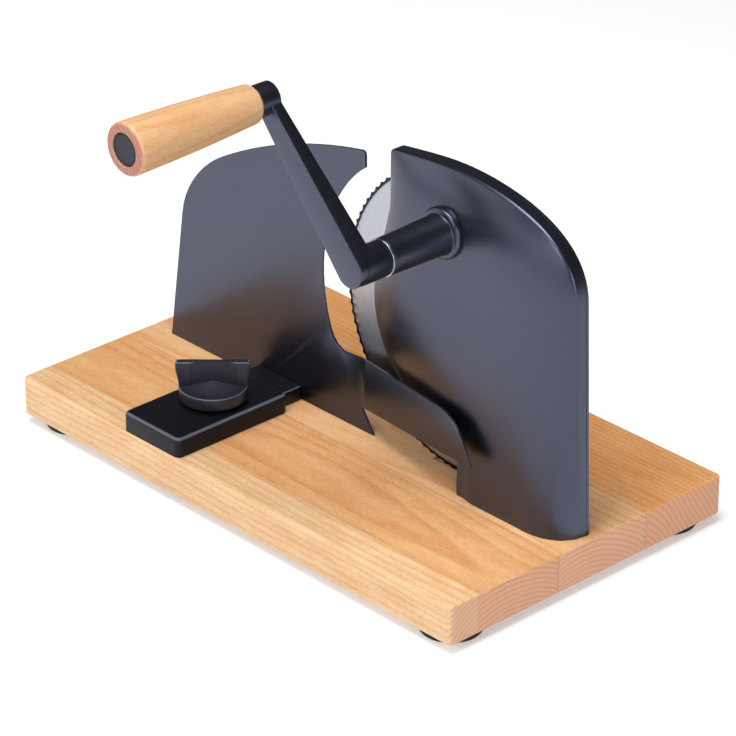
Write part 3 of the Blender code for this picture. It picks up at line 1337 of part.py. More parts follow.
def make_knob(centre, pocket_top):
    """The clamp knob: a foot, a dished disc and an upright finger grip that flares to its top."""
    bottom = height(KNOB_BOTTOM)
    under = bottom + KNOB_FOOT_HEIGHT
    top = under + KNOB_DISC_HEIGHT
    rim = KNOB_RADIUS - KNOB_RIM
    disc = []
    for k in range(6):
        share = k / 5
        rise = KNOB_DOME * (1 - share) ** 2 - KNOB_DISH * math.sin(math.pi * share)
        disc.append((rim * share, top + rise))
    disc += [
        (KNOB_RADIUS, top - KNOB_RIM),
        (KNOB_RADIUS, under),
        (KNOB_FOOT_RADIUS, under),
        (KNOB_FOOT_RADIUS, bottom),
        (0.0, bottom),
    ]
    knob = turned("clamp_knob", disc, "Z", centre, BLACK_PLASTIC, FINE)
    half = KNOB_RADIUS - GAP
    flared = half + GRIP_FLARE
    foot = top - KNOB_DISH - KNOB_RIM
    crest = top + GRIP_HEIGHT
    outline = [
        (-half, foot),
        (half, foot),
        (half, top),
        (flared, crest - GRIP_FLARE),
        (flared - GRIP_FLARE, crest),
        (GRIP_FLARE - flared, crest),
        (-flared, crest - GRIP_FLARE),
        (-half, top),
    ]
    grip = plate("knob_grip", outline, -GRIP_THICKNESS / 2, GRIP_THICKNESS / 2)
    soften(grip, GRIP_EDGE, 2, 50)
    reach = GRIP_WAIST_RADIUS + GRIP_THICKNESS / 2 - GRIP_WAIST
    waists = []
    for side in (-1, 1):
        spot = (0.0, side * reach)
        waists.append(rod(f"finger_hollow_{side}", GRIP_WAIST_RADIUS, foot - GAP, crest + GAP, "Z", spot, steps=120))
    combine(grip, waists)
    fixed_copy(grip)
    grip.rotation_euler = (0.0, 0.0, GRIP_ANGLE)
    grip.location = (centre[0], centre[1], 0.0)
    combine(knob, grip, "UNION")
    combine(knob, rod("stud_pocket", STUD_HEAD_RADIUS + GAP, bottom - GAP, pocket_top, "Z", centre, steps=SMALL))


# Joints


def shapers(piece):
    """A piece and every cutter that shapes it."""
    found = [piece]
    for step in piece.modifiers:
        if step.type == "BOOLEAN":
            others = [step.object] if step.object else list(step.collection.objects)
            for other in others:
                found += shapers(other)
    return found


def hang(name, spot, pieces, carrier=None):
    """Puts a moving body's pieces, with their cutters, under an empty that lies on its joint's axis."""
    pivot = bpy.data.objects.new(name, None)
    PARTS.objects.link(pivot)
    pivot.empty_display_size = BOSS_LENGTH
    pivot.location = spot
    if carrier:
        pivot.parent = carrier
        pivot.location = Vector(spot) - carrier.location
    bpy.context.view_layer.update()
    for piece in pieces:
        for shape in shapers(bpy.data.objects[piece]):
            shape.parent = pivot
            shape.matrix_parent_inverse = pivot.matrix_world.inverted()
    return pivot


def hang_moving_pieces():
    """The crank with its free handle, the blade it drives, the fence's slide and the clamp knob."""
    crank_spot = (CRANK_AXIS[0], BOSS_BACK, CRANK_AXIS[1])
    crank_pieces = ["crank_shaft", "crank_arm", "arm_set_screw", "thrust_ring", "drive_gear", "gear_clip"]
    crank = hang("crank_axis", crank_spot, crank_pieces + ["handle_pin"])
    hang("handle_axis", (HANDLE_AXIS[0], HANDLE_START, HANDLE_AXIS[1]), ["handle_grip", "handle_cap"], crank)
    blade_pieces = ["blade_spindle", "driven_gear", "blade", "blade_clamp_screw"]
    hang("blade_axis", (BLADE_AXIS[0], BLADE_FACE, BLADE_AXIS[1]), blade_pieces)
    fence_pieces = ["fence_plate", "fence_slider", "fence_screw_1", "fence_screw_2"]
    hang("fence_slide", (CLAMP_X, FENCE_FRONT, height(GAP)), fence_pieces)
    hang("knob_axis", (CLAMP_X, KNOB_Y, height(KNOB_BOTTOM)), ["clamp_knob", "clamp_stud"])


make_board()
make_feet()
make_body()
make_cover()
make_base_screws()
make_drive()
make_spindle()
make_crank()
make_handle()
make_fence()
make_slider()
make_clamp()
hang_moving_pieces()
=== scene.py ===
"""The look of a hand-cranked food slicer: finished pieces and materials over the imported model."""

import math

import bpy
import numpy as np
from mathutils import Matrix, Vector
from mathutils.geometry import interpolate_bezier


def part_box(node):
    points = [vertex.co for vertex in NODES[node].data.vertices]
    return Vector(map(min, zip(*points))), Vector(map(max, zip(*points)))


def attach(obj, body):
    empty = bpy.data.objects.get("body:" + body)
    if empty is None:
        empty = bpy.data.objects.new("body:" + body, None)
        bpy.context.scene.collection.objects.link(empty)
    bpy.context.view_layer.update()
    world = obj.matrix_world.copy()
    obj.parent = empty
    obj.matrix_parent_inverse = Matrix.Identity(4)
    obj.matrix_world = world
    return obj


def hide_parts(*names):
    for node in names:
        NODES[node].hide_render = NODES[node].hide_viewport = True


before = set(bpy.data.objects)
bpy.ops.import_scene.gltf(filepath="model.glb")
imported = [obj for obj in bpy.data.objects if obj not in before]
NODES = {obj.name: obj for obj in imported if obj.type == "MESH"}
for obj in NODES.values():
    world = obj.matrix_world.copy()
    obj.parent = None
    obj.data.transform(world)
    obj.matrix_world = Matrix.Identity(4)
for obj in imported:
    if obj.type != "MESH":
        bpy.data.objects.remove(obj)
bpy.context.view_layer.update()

# Places read from the model, in metres
BOARD_LOW, BOARD_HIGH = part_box("base_board")
FRONT = BOARD_LOW.y
TOP = BOARD_HIGH.z


def middle_of(node):
    """The middle of a node's box."""
    low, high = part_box(node)
    return (low + high) / 2


BLADE_MIDDLE = middle_of("blade")
BLADE_AXIS = (BLADE_MIDDLE.x, BLADE_MIDDLE.z)
BLADE_LOW, BLADE_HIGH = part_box("blade")
BLADE_RADIUS = 0.097
CRANK_AXIS = (middle_of("thrust_ring").x, middle_of("thrust_ring").z)
HANDLE_AXIS = (middle_of("handle_cap").x, middle_of("handle_cap").z)
CLAMP = (middle_of("clamp_housing").x, middle_of("clamp_knob").y)
BODY_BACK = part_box("body_housing")[1].y
# Pieces that touch lie this far apart
GAP = 0.0003
# A cut runs this far past the surface it goes through
PAST = 0.001
# Two heights nearer than this are the same
CLOSE = 0.0001
# Length of the bearing tube's spigot behind its flange
SPIGOT = 0.0110


# Tools for shaping


def use(piece):
    """Makes one piece the only one selected, and the active one."""
    bpy.ops.object.select_all(action="DESELECT")
    piece.select_set(True)
    bpy.context.view_layer.objects.active = piece
    return piece


def newest(name):
    """Names the primitive that has just been added."""
    made = bpy.context.object
    made.name = name
    made.data.name = name
    return made


def settle(piece):
    """Moves an object's place and turn into its mesh."""
    use(piece)
    bpy.ops.object.transform_apply(location=True, rotation=True, scale=True)
    return piece


def edit(select="SELECT", kind=None):
    """Goes into edit mode with everything selected, or nothing."""
    bpy.ops.object.mode_set(mode="EDIT")
    if kind:
        bpy.ops.mesh.select_mode(type=kind)
    bpy.ops.mesh.select_all(action=select)


def leave_edit():
    """Goes back to object mode."""
    bpy.ops.object.mode_set(mode="OBJECT")


def choose(piece, kind, chosen):
    """Goes into edit mode with only the edges or faces selected whose corners are chosen."""
    use(piece)
    edit("DESELECT", kind)
    leave_edit()
    for part in piece.data.edges if kind == "EDGE" else piece.data.polygons:
        part.select = chosen(*(piece.data.vertices[k].co for k in part.vertices))
    bpy.ops.object.mode_set(mode="EDIT")


def tidy(piece):
    """Closes seams and poles and turns the faces outwards."""
    use(piece)
    edit()
    bpy.ops.mesh.remove_doubles(threshold=0.000002)
    bpy.ops.mesh.dissolve_degenerate(threshold=0.000001)
    bpy.ops.mesh.normals_make_consistent(inside=False)
    leave_edit()
    return piece


def turned(name, profile, axis, centre, steps=96):
    """A turned piece: a profile of (radius, position) points, drawn point by point and spun round its axis.

    A profile that ends where it starts is a ring. Axis "Y" takes centre as (x, z), axis "Z" as (x, y).
    """
    bpy.ops.object.select_all(action="DESELECT")
    bpy.ops.mesh.primitive_plane_add(size=0.001)
    made = newest(name)
    edit(kind="VERT")
    bpy.ops.mesh.merge(type="CENTER")
    bpy.ops.transform.translate(value=(profile[0][0], 0.0, profile[0][1]))
    for (radius, along), (next_radius, next_along) in zip(profile, profile[1:]):
        move = (next_radius - radius, 0.0, next_along - along)
        bpy.ops.mesh.extrude_vertices_move(TRANSFORM_OT_translate={"value": move})
    bpy.ops.mesh.select_all(action="SELECT")
    bpy.ops.mesh.spin(steps=steps, angle=2 * math.pi, center=(0.0, 0.0, 0.0), axis=(0.0, 0.0, 1.0))
    leave_edit()
    if axis == "Y":
        made.rotation_euler = (-math.pi / 2, 0.0, 0.0)
        made.location = (centre[0], 0.0, centre[1])
    else:
        made.location = (centre[0], centre[1], 0.0)
    settle(made)
    return tidy(made)


def rounded(corners, steps=4):
    """A profile with its corners rounded, from (radius, position, rounding) points."""
    points = []
    for k, corner in enumerate(corners):
        here, fillet = Vector(corner[:2]), corner[2] if len(corner) > 2 else 0.0
        if not fillet or k in (0, len(corners) - 1):
            points.append(tuple(here))
            continue
        back = (Vector(corners[k - 1][:2]) - here).normalized()
        on = (Vector(corners[k + 1][:2]) - here).normalized()
        half = back.angle(on) / 2
        reach = fillet / math.tan(half)
        centre = here + (back + on).normalized() * fillet / math.sin(half)
        first, last = here + back * reach - centre, here + on * reach - centre
        sweep = math.atan2(first.x * last.y - first.y * last.x, first.dot(last))
        for step in range(steps + 1):
            turn = Matrix.Rotation(sweep * step / steps, 2)
            points.append(tuple(centre + turn @ first))
    return points


def block(name, low, high):
    """A cube stretched between two corners, to be rounded and cut."""
    bpy.ops.object.select_all(action="DESELECT")
    bpy.ops.mesh.primitive_cube_add(size=1.0, location=(Vector(low) + Vector(high)) / 2)
    made = newest(name)
    made.scale = Vector(high) - Vector(low)
    return settle(made)


def outlined(name, outline, low, high):
    """A sheet in the XZ plane: a disc's edge laid on an outline of (x, z) points, then extruded along Y."""
    bpy.ops.object.select_all(action="DESELECT")
    bpy.ops.mesh.primitive_circle_add(vertices=len(outline), fill_type="NGON")
    made = newest(name)
    for vertex, (x, z) in zip(made.data.vertices, outline):
        vertex.co = (x, low, z)
    edit()
    bpy.ops.mesh.extrude_region_move(TRANSFORM_OT_translate={"value": (0.0, high - low, 0.0)})
    leave_edit()
    return tidy(made)


def round_edges(piece, chosen, width, segments=3):
    """Bevels the edges whose two ends are chosen."""
    choose(piece, "EDGE", chosen)
    bpy.ops.mesh.bevel(offset=width, segments=segments, affect="EDGES")
    leave_edit()


def upright(one, two):
    """Whether an edge stands upright."""
    return abs(one.z - two.z) > 0.001 and abs(one.x - two.x) + abs(one.y - two.y) < 0.0005


def lies_at(*heights):
    """A test for edges that lie flat at one of the heights."""
    return lambda one, two: any(max(abs(one.z - z), abs(two.z - z)) < CLOSE for z in heights)


def soften(piece, width, segments=3, angle=35):
    """Rounds every edge that is sharper than an angle."""
    use(piece)
    bevel = piece.modifiers.new("round", "BEVEL")
    bevel.width = width
    bevel.segments = segments
    bevel.limit_method = "ANGLE"
    bevel.angle_limit = math.radians(angle)
    bevel.harden_normals = False
    bpy.ops.object.modifier_apply(modifier="round")
    return piece


def combine(piece, others, operation="DIFFERENCE"):
    """Cuts or joins a piece with others, one after the other."""
    for other in others:
        use(piece)
        step = piece.modifiers.new("cut", "BOOLEAN")
        step.operation = operation
        step.solver = "EXACT"
        step.object = other
        bpy.ops.object.modifier_apply(modifier="cut")
        bpy.data.objects.remove(other, do_unlink=True)
    return piece


def close_slits(piece):
    """Closes the hairline slits that cutting leaves between two faces."""
    use(piece)
    edit(kind="VERT")
    bpy.ops.mesh.remove_doubles(threshold=0.000001)
    bpy.ops.mesh.fill_holes(sides=6)
    bpy.ops.mesh.select_all(action="SELECT")
    bpy.ops.mesh.normals_make_consistent(inside=False)
    leave_edit()


def bore(name, start, runs, axis, centre, steps=64):
    """A stepped cylinder, used to cut or to build on: each run is a radius and the place where it ends."""
    profile = [(0.0, start)]
    for radius, end in runs:
        profile += [(radius, profile[-1][1]), (radius, end)]
    return turned(name, profile + [(0.0, profile[-1][1])], axis, centre, steps)


def rod(name, radius, low, high, axis, centre, steps=64):
    """A plain cylinder between two positions."""
    return bore(name, high, [(radius, low)], axis, centre, steps)


def copied(piece, name, matrix):
    """A copy of a piece with its own mesh, put in its place."""
    made = piece.copy()
    made.data = piece.data.copy()
    made.data.transform(matrix)
    made.name = name
    bpy.context.scene.collection.objects.link(made)
    return made


def from_model(node, name):
    """A copy of a model node with its loose triangles joined to plain faces."""
    made = copied(NODES[node], name, Matrix())
    made.parent = None
    for key in list(made.keys()):
        del made[key]
    tidy(made)
    edit()
    bpy.ops.mesh.dissolve_limited(angle_limit=math.radians(0.5))
    leave_edit()
    return made


def finish(piece, body, slot, node, look=None, angle=32):
    """Gives a piece its material, looked up by slot unless given, its shading and the body it rides on, and
    hides the model node it stands for.
    """
    use(piece)
    piece.data.materials.clear()
    piece.data.materials.append(look or LOOKS[slot])
    bpy.ops.object.shade_smooth_by_angle(angle=math.radians(angle))
    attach(piece, body)
    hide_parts(node)


def polar(centre, radius, angle):
    """A point at an angle in degrees round a centre."""
    turn = math.radians(angle)
    return (centre[0] + radius * math.cos(turn), centre[1] + radius * math.sin(turn))


def arc(centre, radius, start, end, count):
    """Points on an arc from start to end in degrees, without the last one."""
    return [polar(centre, radius, start + (end - start) * k / count) for k in range(count)]


def line(start, end, count):
    """Points on a straight line, without the last one."""
    return [tuple(Vector(start).lerp(Vector(end), k / count)) for k in range(count)]


def bend_between(start, start_pull, end_pull, end, count):
    """Points on a smooth curve with the given handles, without the last one."""
    points = interpolate_bezier(Vector(start), Vector(start_pull), Vector(end_pull), Vector(end), count + 1)
    return [tuple(point) for point in points[:-1]]


# Tools for materials


def linear(code):
    """A linear colour from an sRGB hex code."""
    parts = [int(code[k : k + 2], 16) / 255 for k in (1, 3, 5)]
    return tuple(v / 12.92 if v <= 0.04045 else ((v + 0.055) / 1.055) ** 2.4 for v in parts) + (1.0,)


def grey(value):
    """A linear grey."""
    return (value, value, value, 1.0)


def set_shader(made, settings):
    """Sets numbers and colours directly on a material's own shader."""
    for key, value in settings.items():
        made.node_tree.nodes["Principled BSDF"].inputs[key].default_value = value


def material(name, colour, roughness, metallic=0.0):
    """A new material with its shader's own colour, roughness and metallic set."""
    made = bpy.data.materials.new(name)
    made.use_nodes = True
    set_shader(made, {"Base Color": linear(colour), "Roughness": roughness, "Metallic": metallic})
    return made, made.node_tree, made.node_tree.nodes["Principled BSDF"]


def add(tree, kind, settings=None, inputs=None):
    """Adds a node with its settings, then fills or links its inputs. A ramp's stops are (place, colour)."""
    made = tree.nodes.new("ShaderNode" + kind)
    for key, value in (settings or {}).items():
        if key == "stops":
            ramp = made.color_ramp
            while len(ramp.elements) < len(value):
                ramp.elements.new(1.0)
            for element, (spot, colour) in zip(ramp.elements, value):
                element.position = spot
                element.color = colour
        elif key == "steps":
            made.color_ramp.interpolation = value
        else:
            setattr(made, key, value)
    for key, value in (inputs or {}).items():
        if isinstance(value, bpy.types.NodeSocket):
            tree.links.new(value, made.inputs[key])
        else:
            made.inputs[key].default_value = value
    return made


# Materials


def beech_grain(tree, vector, along, shift, seed):
    """Beech: growth rings round an axis beside the piece, short dark flecks along the grain, slow colour drift.

    Returns the rings, the flecks and the drift as values from 0 to 1.
    """
    stretch = {"X": (0.22, 1.0, 1.0), "Y": (1.0, 0.22, 1.0)}[along]
    drawn = add(tree, "VectorMath", {"operation": "MULTIPLY"}, {0: vector, 1: stretch})
    wander = add(
        tree, "TexNoise", {"noise_dimensions": "4D"},
        {"Vector": drawn.outputs[0], "W": seed, "Scale": 20.0, "Detail": 1.5, "Roughness": 0.4},
    )
    aside = {"X": (0.0, 0.012, 0.012), "Y": (0.012, 0.0, 0.012)}[along]
    sway = add(
        tree, "VectorMath", {"operation": "MULTIPLY_ADD"}, {0: wander.outputs["Color"], 1: aside, 2: vector}
    )
    placed = add(tree, "VectorMath", {"operation": "ADD"}, {0: sway.outputs[0], 1: shift})
    # growth rings about 3.5 mm apart
    rings = add(
        tree, "TexWave", {"wave_type": "RINGS", "rings_direction": along, "wave_profile": "SAW"},
        {"Vector": placed.outputs[0], "Scale": 98.0, "Distortion": 0.2, "Detail": 2.0, "Detail Scale": 0.4},
    )
    late = add(
        tree, "ValToRGB", {"stops": [(0.0, grey(0.2)), (0.5, grey(0.35)), (0.9, grey(1.0)), (1.0, grey(0.2))]},
        {"Fac": rings.outputs["Fac"]},
    )
    # rays show as spindle marks about 2 mm long, a little coarser than real ones so that they show
    mark = {"X": (420.0, 2300.0, 2300.0), "Y": (2300.0, 420.0, 2300.0)}[along]
    fine = add(tree, "VectorMath", {"operation": "MULTIPLY"}, {0: vector, 1: mark})
    speck = add(
        tree, "TexNoise", {"noise_dimensions": "4D"},
        {"Vector": fine.outputs[0], "W": seed, "Scale": 1.0, "Detail": 1.0, "Roughness": 0.5},
    )
    flecks = add(
        tree, "ValToRGB", {"stops": [(0.56, grey(0.0)), (0.72, grey(1.0))]}, {"Fac": speck.outputs["Fac"]}
    )
    drift = add(
        tree, "TexNoise", {"noise_dimensions": "4D"},
        {"Vector": drawn.outputs[0], "W": seed, "Scale": 130.0, "Detail": 4.0, "Roughness": 0.6},
    )
    return late.outputs["Color"], flecks.outputs["Color"], drift.outputs["Fac"]


def make_board_beech():
    """Beech, four planed and oiled staves glued edge to edge: satin, each stave with its own tone and rings,
    the back two also painted lighter against the housing's shadow.
    """
    made, tree, shader = material("oiled beech board", "#e2b078", 0.42)
    spot = add(tree, "TexCoord")
    part = add(tree, "SeparateXYZ", None, {0: spot.outputs["Object"]})
    across = add(
        tree, "MapRange", None,
        {"Value": part.outputs["Y"], "From Min": FRONT, "From Max": BOARD_HIGH.y},
    )
    # stave joints 22, 85 and 157.5 mm behind the front edge
    joints = [0.0, 0.0989, 0.3820, 0.7079]
    offsets = [
        (0.10, 0.62, 0.15, 1.0), (0.45, 0.72, 0.20, 1.0), (0.80, 0.10, 0.10, 1.0), (0.25, -0.75, 0.05, 1.0),
    ]
    stave = add(
        tree, "ValToRGB", {"steps": "CONSTANT", "stops": list(zip(joints, offsets))},
        {"Fac": across.outputs["Result"]},
    )
    shift = add(
        tree, "VectorMath", {"operation": "MULTIPLY_ADD"},
        {0: stave.outputs["Color"], 1: (0.0, 0.10, 0.06), 2: (0.0, -0.05, 0.02)},
    )
    chosen = add(tree, "SeparateXYZ", None, {0: stave.outputs["Color"]})
    seed = add(tree, "Math", {"operation": "MULTIPLY"}, {0: chosen.outputs["X"], 1: 37.0})
    late, flecks, drift = beech_grain(tree, spot.outputs["Object"], "X", shift.outputs[0], seed.outputs[0])
    # each stave's own tone; the two back staves are also made lighter as painted light, against the shadow the
    # housing casts on them
    stave_tones_with_painted_light = [linear("#efcfa6"), linear("#e8b986"), linear("#f1c798"), linear("#f2b97d")]
    tone = add(
        tree, "ValToRGB", {"steps": "CONSTANT", "stops": list(zip(joints, stave_tones_with_painted_light))},
        {"Fac": across.outputs["Result"]},
    )
    deep = add(
        tree, "MixRGB", {"blend_type": "MULTIPLY"},
        {"Fac": 1.0, "Color1": tone.outputs["Color"], "Color2": linear("#efddc9")},
    )
    ringed = add(
        tree, "MixRGB", None, {"Fac": late, "Color1": tone.outputs["Color"], "Color2": deep.outputs["Color"]}
    )
    slow = add(tree, "ValToRGB", {"stops": [(0.35, grey(0.0)), (0.68, grey(1.0))]}, {"Fac": drift})
    drifted = add(
        tree, "MixRGB", {"blend_type": "MULTIPLY"},
        {"Fac": slow.outputs["Color"], "Color1": ringed.outputs["Color"], "Color2": linear("#f3e3d2")},
    )
    specked = add(
        tree, "MixRGB", {"blend_type": "MULTIPLY"},
        {"Fac": flecks, "Color1": drifted.outputs["Color"], "Color2": linear("#e6d2bf")},
    )
    # end grain drinks more oil: pinker, its rings show more
    facing = add(tree, "SeparateXYZ", None, {0: spot.outputs["Normal"]})
    ends = add(tree, "Math", {"operation": "ABSOLUTE"}, {0: facing.outputs["X"]})
    end = add(tree, "MapRange", None, {"Value": ends.outputs[0], "From Min": 0.6, "From Max": 0.85})
    cut = add(tree, "MixRGB", None, {"Fac": late, "Color1": linear("#dfa68a"), "Color2": linear("#ba775a")})
    pink = add(
        tree, "MixRGB", None, {"Fac": 0.7, "Color1": tone.outputs["Color"], "Color2": cut.outputs["Color"]}
    )
    browned = add(
        tree, "MixRGB", None,
        {"Fac": end.outputs["Result"], "Color1": specked.outputs["Color"], "Color2": pink.outputs["Color"]},
    )
    # glue lines, as fine dark seams
    seam, half = [(0.0, grey(0.0))], 0.0020
    for joint in joints[1:]:
        seam += [(joint - half, grey(0.0)), (joint, grey(0.85)), (joint + half, grey(0.0))]
    glue = add(tree, "ValToRGB", {"stops": seam}, {"Fac": across.outputs["Result"]})
    seamed = add(
        tree, "MixRGB", None,
        {"Fac": glue.outputs["Color"], "Color1": browned.outputs["Color"], "Color2": linear("#b07f58")},
    )
    tree.links.new(seamed.outputs["Color"], shader.inputs["Base Color"])
    worn = add(tree, "MapRange", None, {"Value": drift, "To Min": 0.38, "To Max": 0.52})
    tree.links.new(worn.outputs["Result"], shader.inputs["Roughness"])
    bump = add(tree, "Bump", None, {"Strength": 0.25, "Distance": 0.00012, "Height": flecks})
    tree.links.new(bump.outputs["Normal"], shader.inputs["Normal"])
    return made


def make_handle_beech():
    """Beech, turned along the grain and oiled: even yellow sides with flecks, pinkish end grain."""
    made, tree, shader = material("oiled turned beech", "#e9bd84", 0.42)
    spot = add(tree, "TexCoord")
    shift = (-HANDLE_AXIS[0] + 0.035, 0.0, -HANDLE_AXIS[1] + 0.02)
    late, flecks, drift = beech_grain(tree, spot.outputs["Object"], "Y", shift, 5.0)
    slow = add(
        tree, "ValToRGB", {"stops": [(0.32, linear("#e2bb8f")), (0.70, linear("#daaa7b"))]}, {"Fac": drift}
    )
    ringed = add(
        tree, "MixRGB", {"blend_type": "MULTIPLY"},
        {"Fac": late, "Color1": slow.outputs["Color"], "Color2": linear("#f4e6d6")},
    )
    specked = add(
        tree, "MixRGB", {"blend_type": "MULTIPLY"},
        {"Fac": flecks, "Color1": ringed.outputs["Color"], "Color2": linear("#e8d4c0")},
    )
    facing = add(tree, "SeparateXYZ", None, {0: spot.outputs["Normal"]})
    ends = add(tree, "Math", {"operation": "ABSOLUTE"}, {0: facing.outputs["Y"]})
    end = add(tree, "MapRange", None, {"Value": ends.outputs[0], "From Min": 0.45, "From Max": 0.9})
    cut = add(tree, "MixRGB", None, {"Fac": late, "Color1": linear("#bb8370"), "Color2": linear("#a66856")})
    browned = add(
        tree, "MixRGB", None,
        {"Fac": end.outputs["Result"], "Color1": specked.outputs["Color"], "Color2": cut.outputs["Color"]},
    )
    tree.links.new(browned.outputs["Color"], shader.inputs["Base Color"])
    worn = add(tree, "MapRange", None, {"Value": drift, "To Min": 0.36, "To Max": 0.50})
    tree.links.new(worn.outputs["Result"], shader.inputs["Roughness"])
    bump = add(tree, "Bump", None, {"Strength": 0.3, "Distance": 0.00012, "Height": flecks})
    tree.links.new(bump.outputs["Normal"], shader.inputs["Normal"])
    return made


def make_grained(name, colour, roughness, spread, grain, depth, metallic=0.0):
    """A finish with a fine even grain: size of the grain in metres, its depth, and the spread of its gloss."""
    made, tree, shader = material(name, colour, roughness, metallic)
    spot = add(tree, "TexCoord")
    fine = add(
        tree, "TexNoise", None,
        {"Vector": spot.outputs["Object"], "Scale": 1 / grain, "Detail": 2.0, "Roughness": 0.55},
    )
    broad = add(
        tree, "TexNoise", None,
        {"Vector": spot.outputs["Object"], "Scale": 25.0, "Detail": 3.0, "Roughness": 0.6},
    )
    gloss = add(
        tree, "MapRange", None,
        {"Value": broad.outputs["Fac"], "From Min": 0.3, "From Max": 0.7,
         "To Min": roughness - spread, "To Max": roughness + spread},
    )
    tree.links.new(gloss.outputs["Result"], shader.inputs["Roughness"])
    bump = add(tree, "Bump", None, {"Strength": 0.35, "Distance": depth, "Height": fine.outputs["Fac"]})
    tree.links.new(bump.outputs["Normal"], shader.inputs["Normal"])
    return made


def paint_edge_highlights(made, colour, worn, level):
    """Edges and hollows whose normal leans upwards, but less than this level, get a painted highlight: their
    colour is mixed towards the lighter worn colour.
    """
    tree = made.node_tree
    spot = add(tree, "TexCoord")
    facing = add(tree, "SeparateXYZ", None, {0: spot.outputs["Normal"]})
    # painted highlight: lighter where the normal leans partly upwards, as on rounded top edges
    edge = add(
        tree, "ValToRGB",
        {"stops": [(0.30, grey(0.0)), (0.55, grey(1.0)), (level - 0.13, grey(1.0)), (level, grey(0.0))]},
        {"Fac": facing.outputs["Z"]},
    )
    painted_light_mix = add(
        tree, "MixRGB", None,
        {"Fac": edge.outputs["Color"], "Color1": linear(colour), "Color2": linear(worn)},
    )
    tree.links.new(painted_light_mix.outputs["Color"], tree.nodes["Principled BSDF"].inputs["Base Color"])


def reach_from(tree, spot, centre):
    """Distance from an axis that runs along Y through centre, given as (x, z)."""
    placed = add(
        tree, "VectorMath", {"operation": "ADD"},
        {0: spot.outputs["Object"], 1: (-centre[0], 0.0, -centre[1])},
    )
    flat = add(tree, "VectorMath", {"operation": "MULTIPLY"}, {0: placed.outputs[0], 1: (1.0, 0.0, 1.0)})
    return add(tree, "VectorMath", {"operation": "LENGTH"}, {0: flat.outputs[0]}).outputs["Value"]


def make_ground_steel(name, colour, centre, roughness):
    """Stainless steel, ground on a turning wheel: fine circles round the blade's axis, and painted shade
    darkening the edge.
    """
    made, tree, shader = material(name, colour, roughness, 1.0)
    reach = reach_from(tree, add(tree, "TexCoord"), centre)
    # grinding lines half a millimetre apart, coarser than real ones so that they show
    lines = add(
        tree, "TexNoise", {"noise_dimensions": "1D"},
        {"W": reach, "Scale": 2000.0, "Detail": 4.0, "Roughness": 0.7},
    )
    gloss = add(
        tree, "MapRange", None,
        {"Value": lines.outputs["Fac"], "From Min": 0.3, "From Max": 0.7,
         "To Min": roughness - 0.06, "To Max": roughness + 0.08},
    )
    tree.links.new(gloss.outputs["Result"], shader.inputs["Roughness"])
    # painted shade: the base colour turns dark grey over the outer few millimetres towards the edge
    ground = add(
        tree, "MapRange", None,
        {"Value": reach, "From Min": BLADE_RADIUS - 0.0034, "From Max": BLADE_RADIUS - 0.0026},
    )
    painted_light_mix = add(
        tree, "MixRGB", None,
        {"Fac": ground.outputs["Result"], "Color1": linear(colour), "Color2": linear("#303136")},
    )
    tree.links.new(painted_light_mix.outputs["Color"], shader.inputs["Base Color"])
    bump = add(tree, "Bump", None, {"Strength": 0.25, "Distance": 0.00003, "Height": lines.outputs["Fac"]})
    tree.links.new(bump.outputs["Normal"], shader.inputs["Normal"])
    return made


def make_cap_plastic():
    """ABS, moulded smooth: slate grey in the middle, with painted shadow making the rim that is pressed into
    the wood near black.
    """
    slate = "#262633"
    made = make_grained("grey moulded ABS", slate, 0.42, 0.03, 0.0004, 0.00001)
    set_shader(made, {"Specular IOR Level": 0.3})
    tree = made.node_tree
    reach = reach_from(tree, add(tree, "TexCoord"), HANDLE_AXIS)
    # painted shadow: the base colour turns near black towards the rim
    rim = add(tree, "MapRange", None, {"Value": reach, "From Min": 0.0080, "From Max": 0.0086})
    painted_light_mix = add(
        tree, "MixRGB", None,
        {"Fac": rim.outputs["Result"], "Color1": linear(slate), "Color2": linear("#09090c")},
    )
    tree.links.new(painted_light_mix.outputs["Color"], tree.nodes["Principled BSDF"].inputs["Base Color"])
    return made


BEECH = make_board_beech()
HANDLE_BEECH = make_handle_beech()
# Cast and sheet metal, powder coated and baked: satin black with a very fine orange peel
COATING = make_grained("black powder coat", "#070708", 0.31, 0.02, 0.0006, 0.000006)
set_shader(COATING, {"IOR": 1.7, "Specular IOR Level": 0.8, "Specular Tint": linear("#cfd6ff")})
# Injection moulded ABS with a light spark-eroded grain: duller than the coating
ABS = make_grained("black moulded ABS", "#0e0e11", 0.36, 0.04, 0.0004, 0.00001)
# the rounded edges of the pieces in this plastic get a painted highlight in grey
paint_edge_highlights(ABS, "#0e0e11", "#5a5c66", 0.96)
set_shader(ABS, {"Specular IOR Level": 0.27, "Specular Tint": linear("#d8deff")})
# The knob has the same plastic with a finer grain; its colour is greyer than the housing's, a painted sheen for
# the light its faces reflect
KNOB_ABS_WITH_PAINTED_SHEEN = make_grained("fine-grained ABS with painted sheen", "#222228", 0.33, 0.03, 0.0004, 0.000006)
# its edges and the dish of its disc get a painted highlight as well
paint_edge_highlights(KNOB_ABS_WITH_PAINTED_SHEEN, "#222228", "#565963", 0.998)
set_shader(KNOB_ABS_WITH_PAINTED_SHEEN, {"Specular Tint": linear("#d8deff")})
# Grey moulded ABS cap: plain and smooth, with painted shadow on its rim
CAP_ABS = make_cap_plastic()
# Moulded natural rubber: matt, with a dusty bloom
RUBBER = make_grained("black moulded rubber", "#161617", 0.75, 0.06, 0.0005, 0.00003)
BLADE_STEEL = make_ground_steel("ground stainless steel", "#b3b5bd", BLADE_AXIS, 0.30)
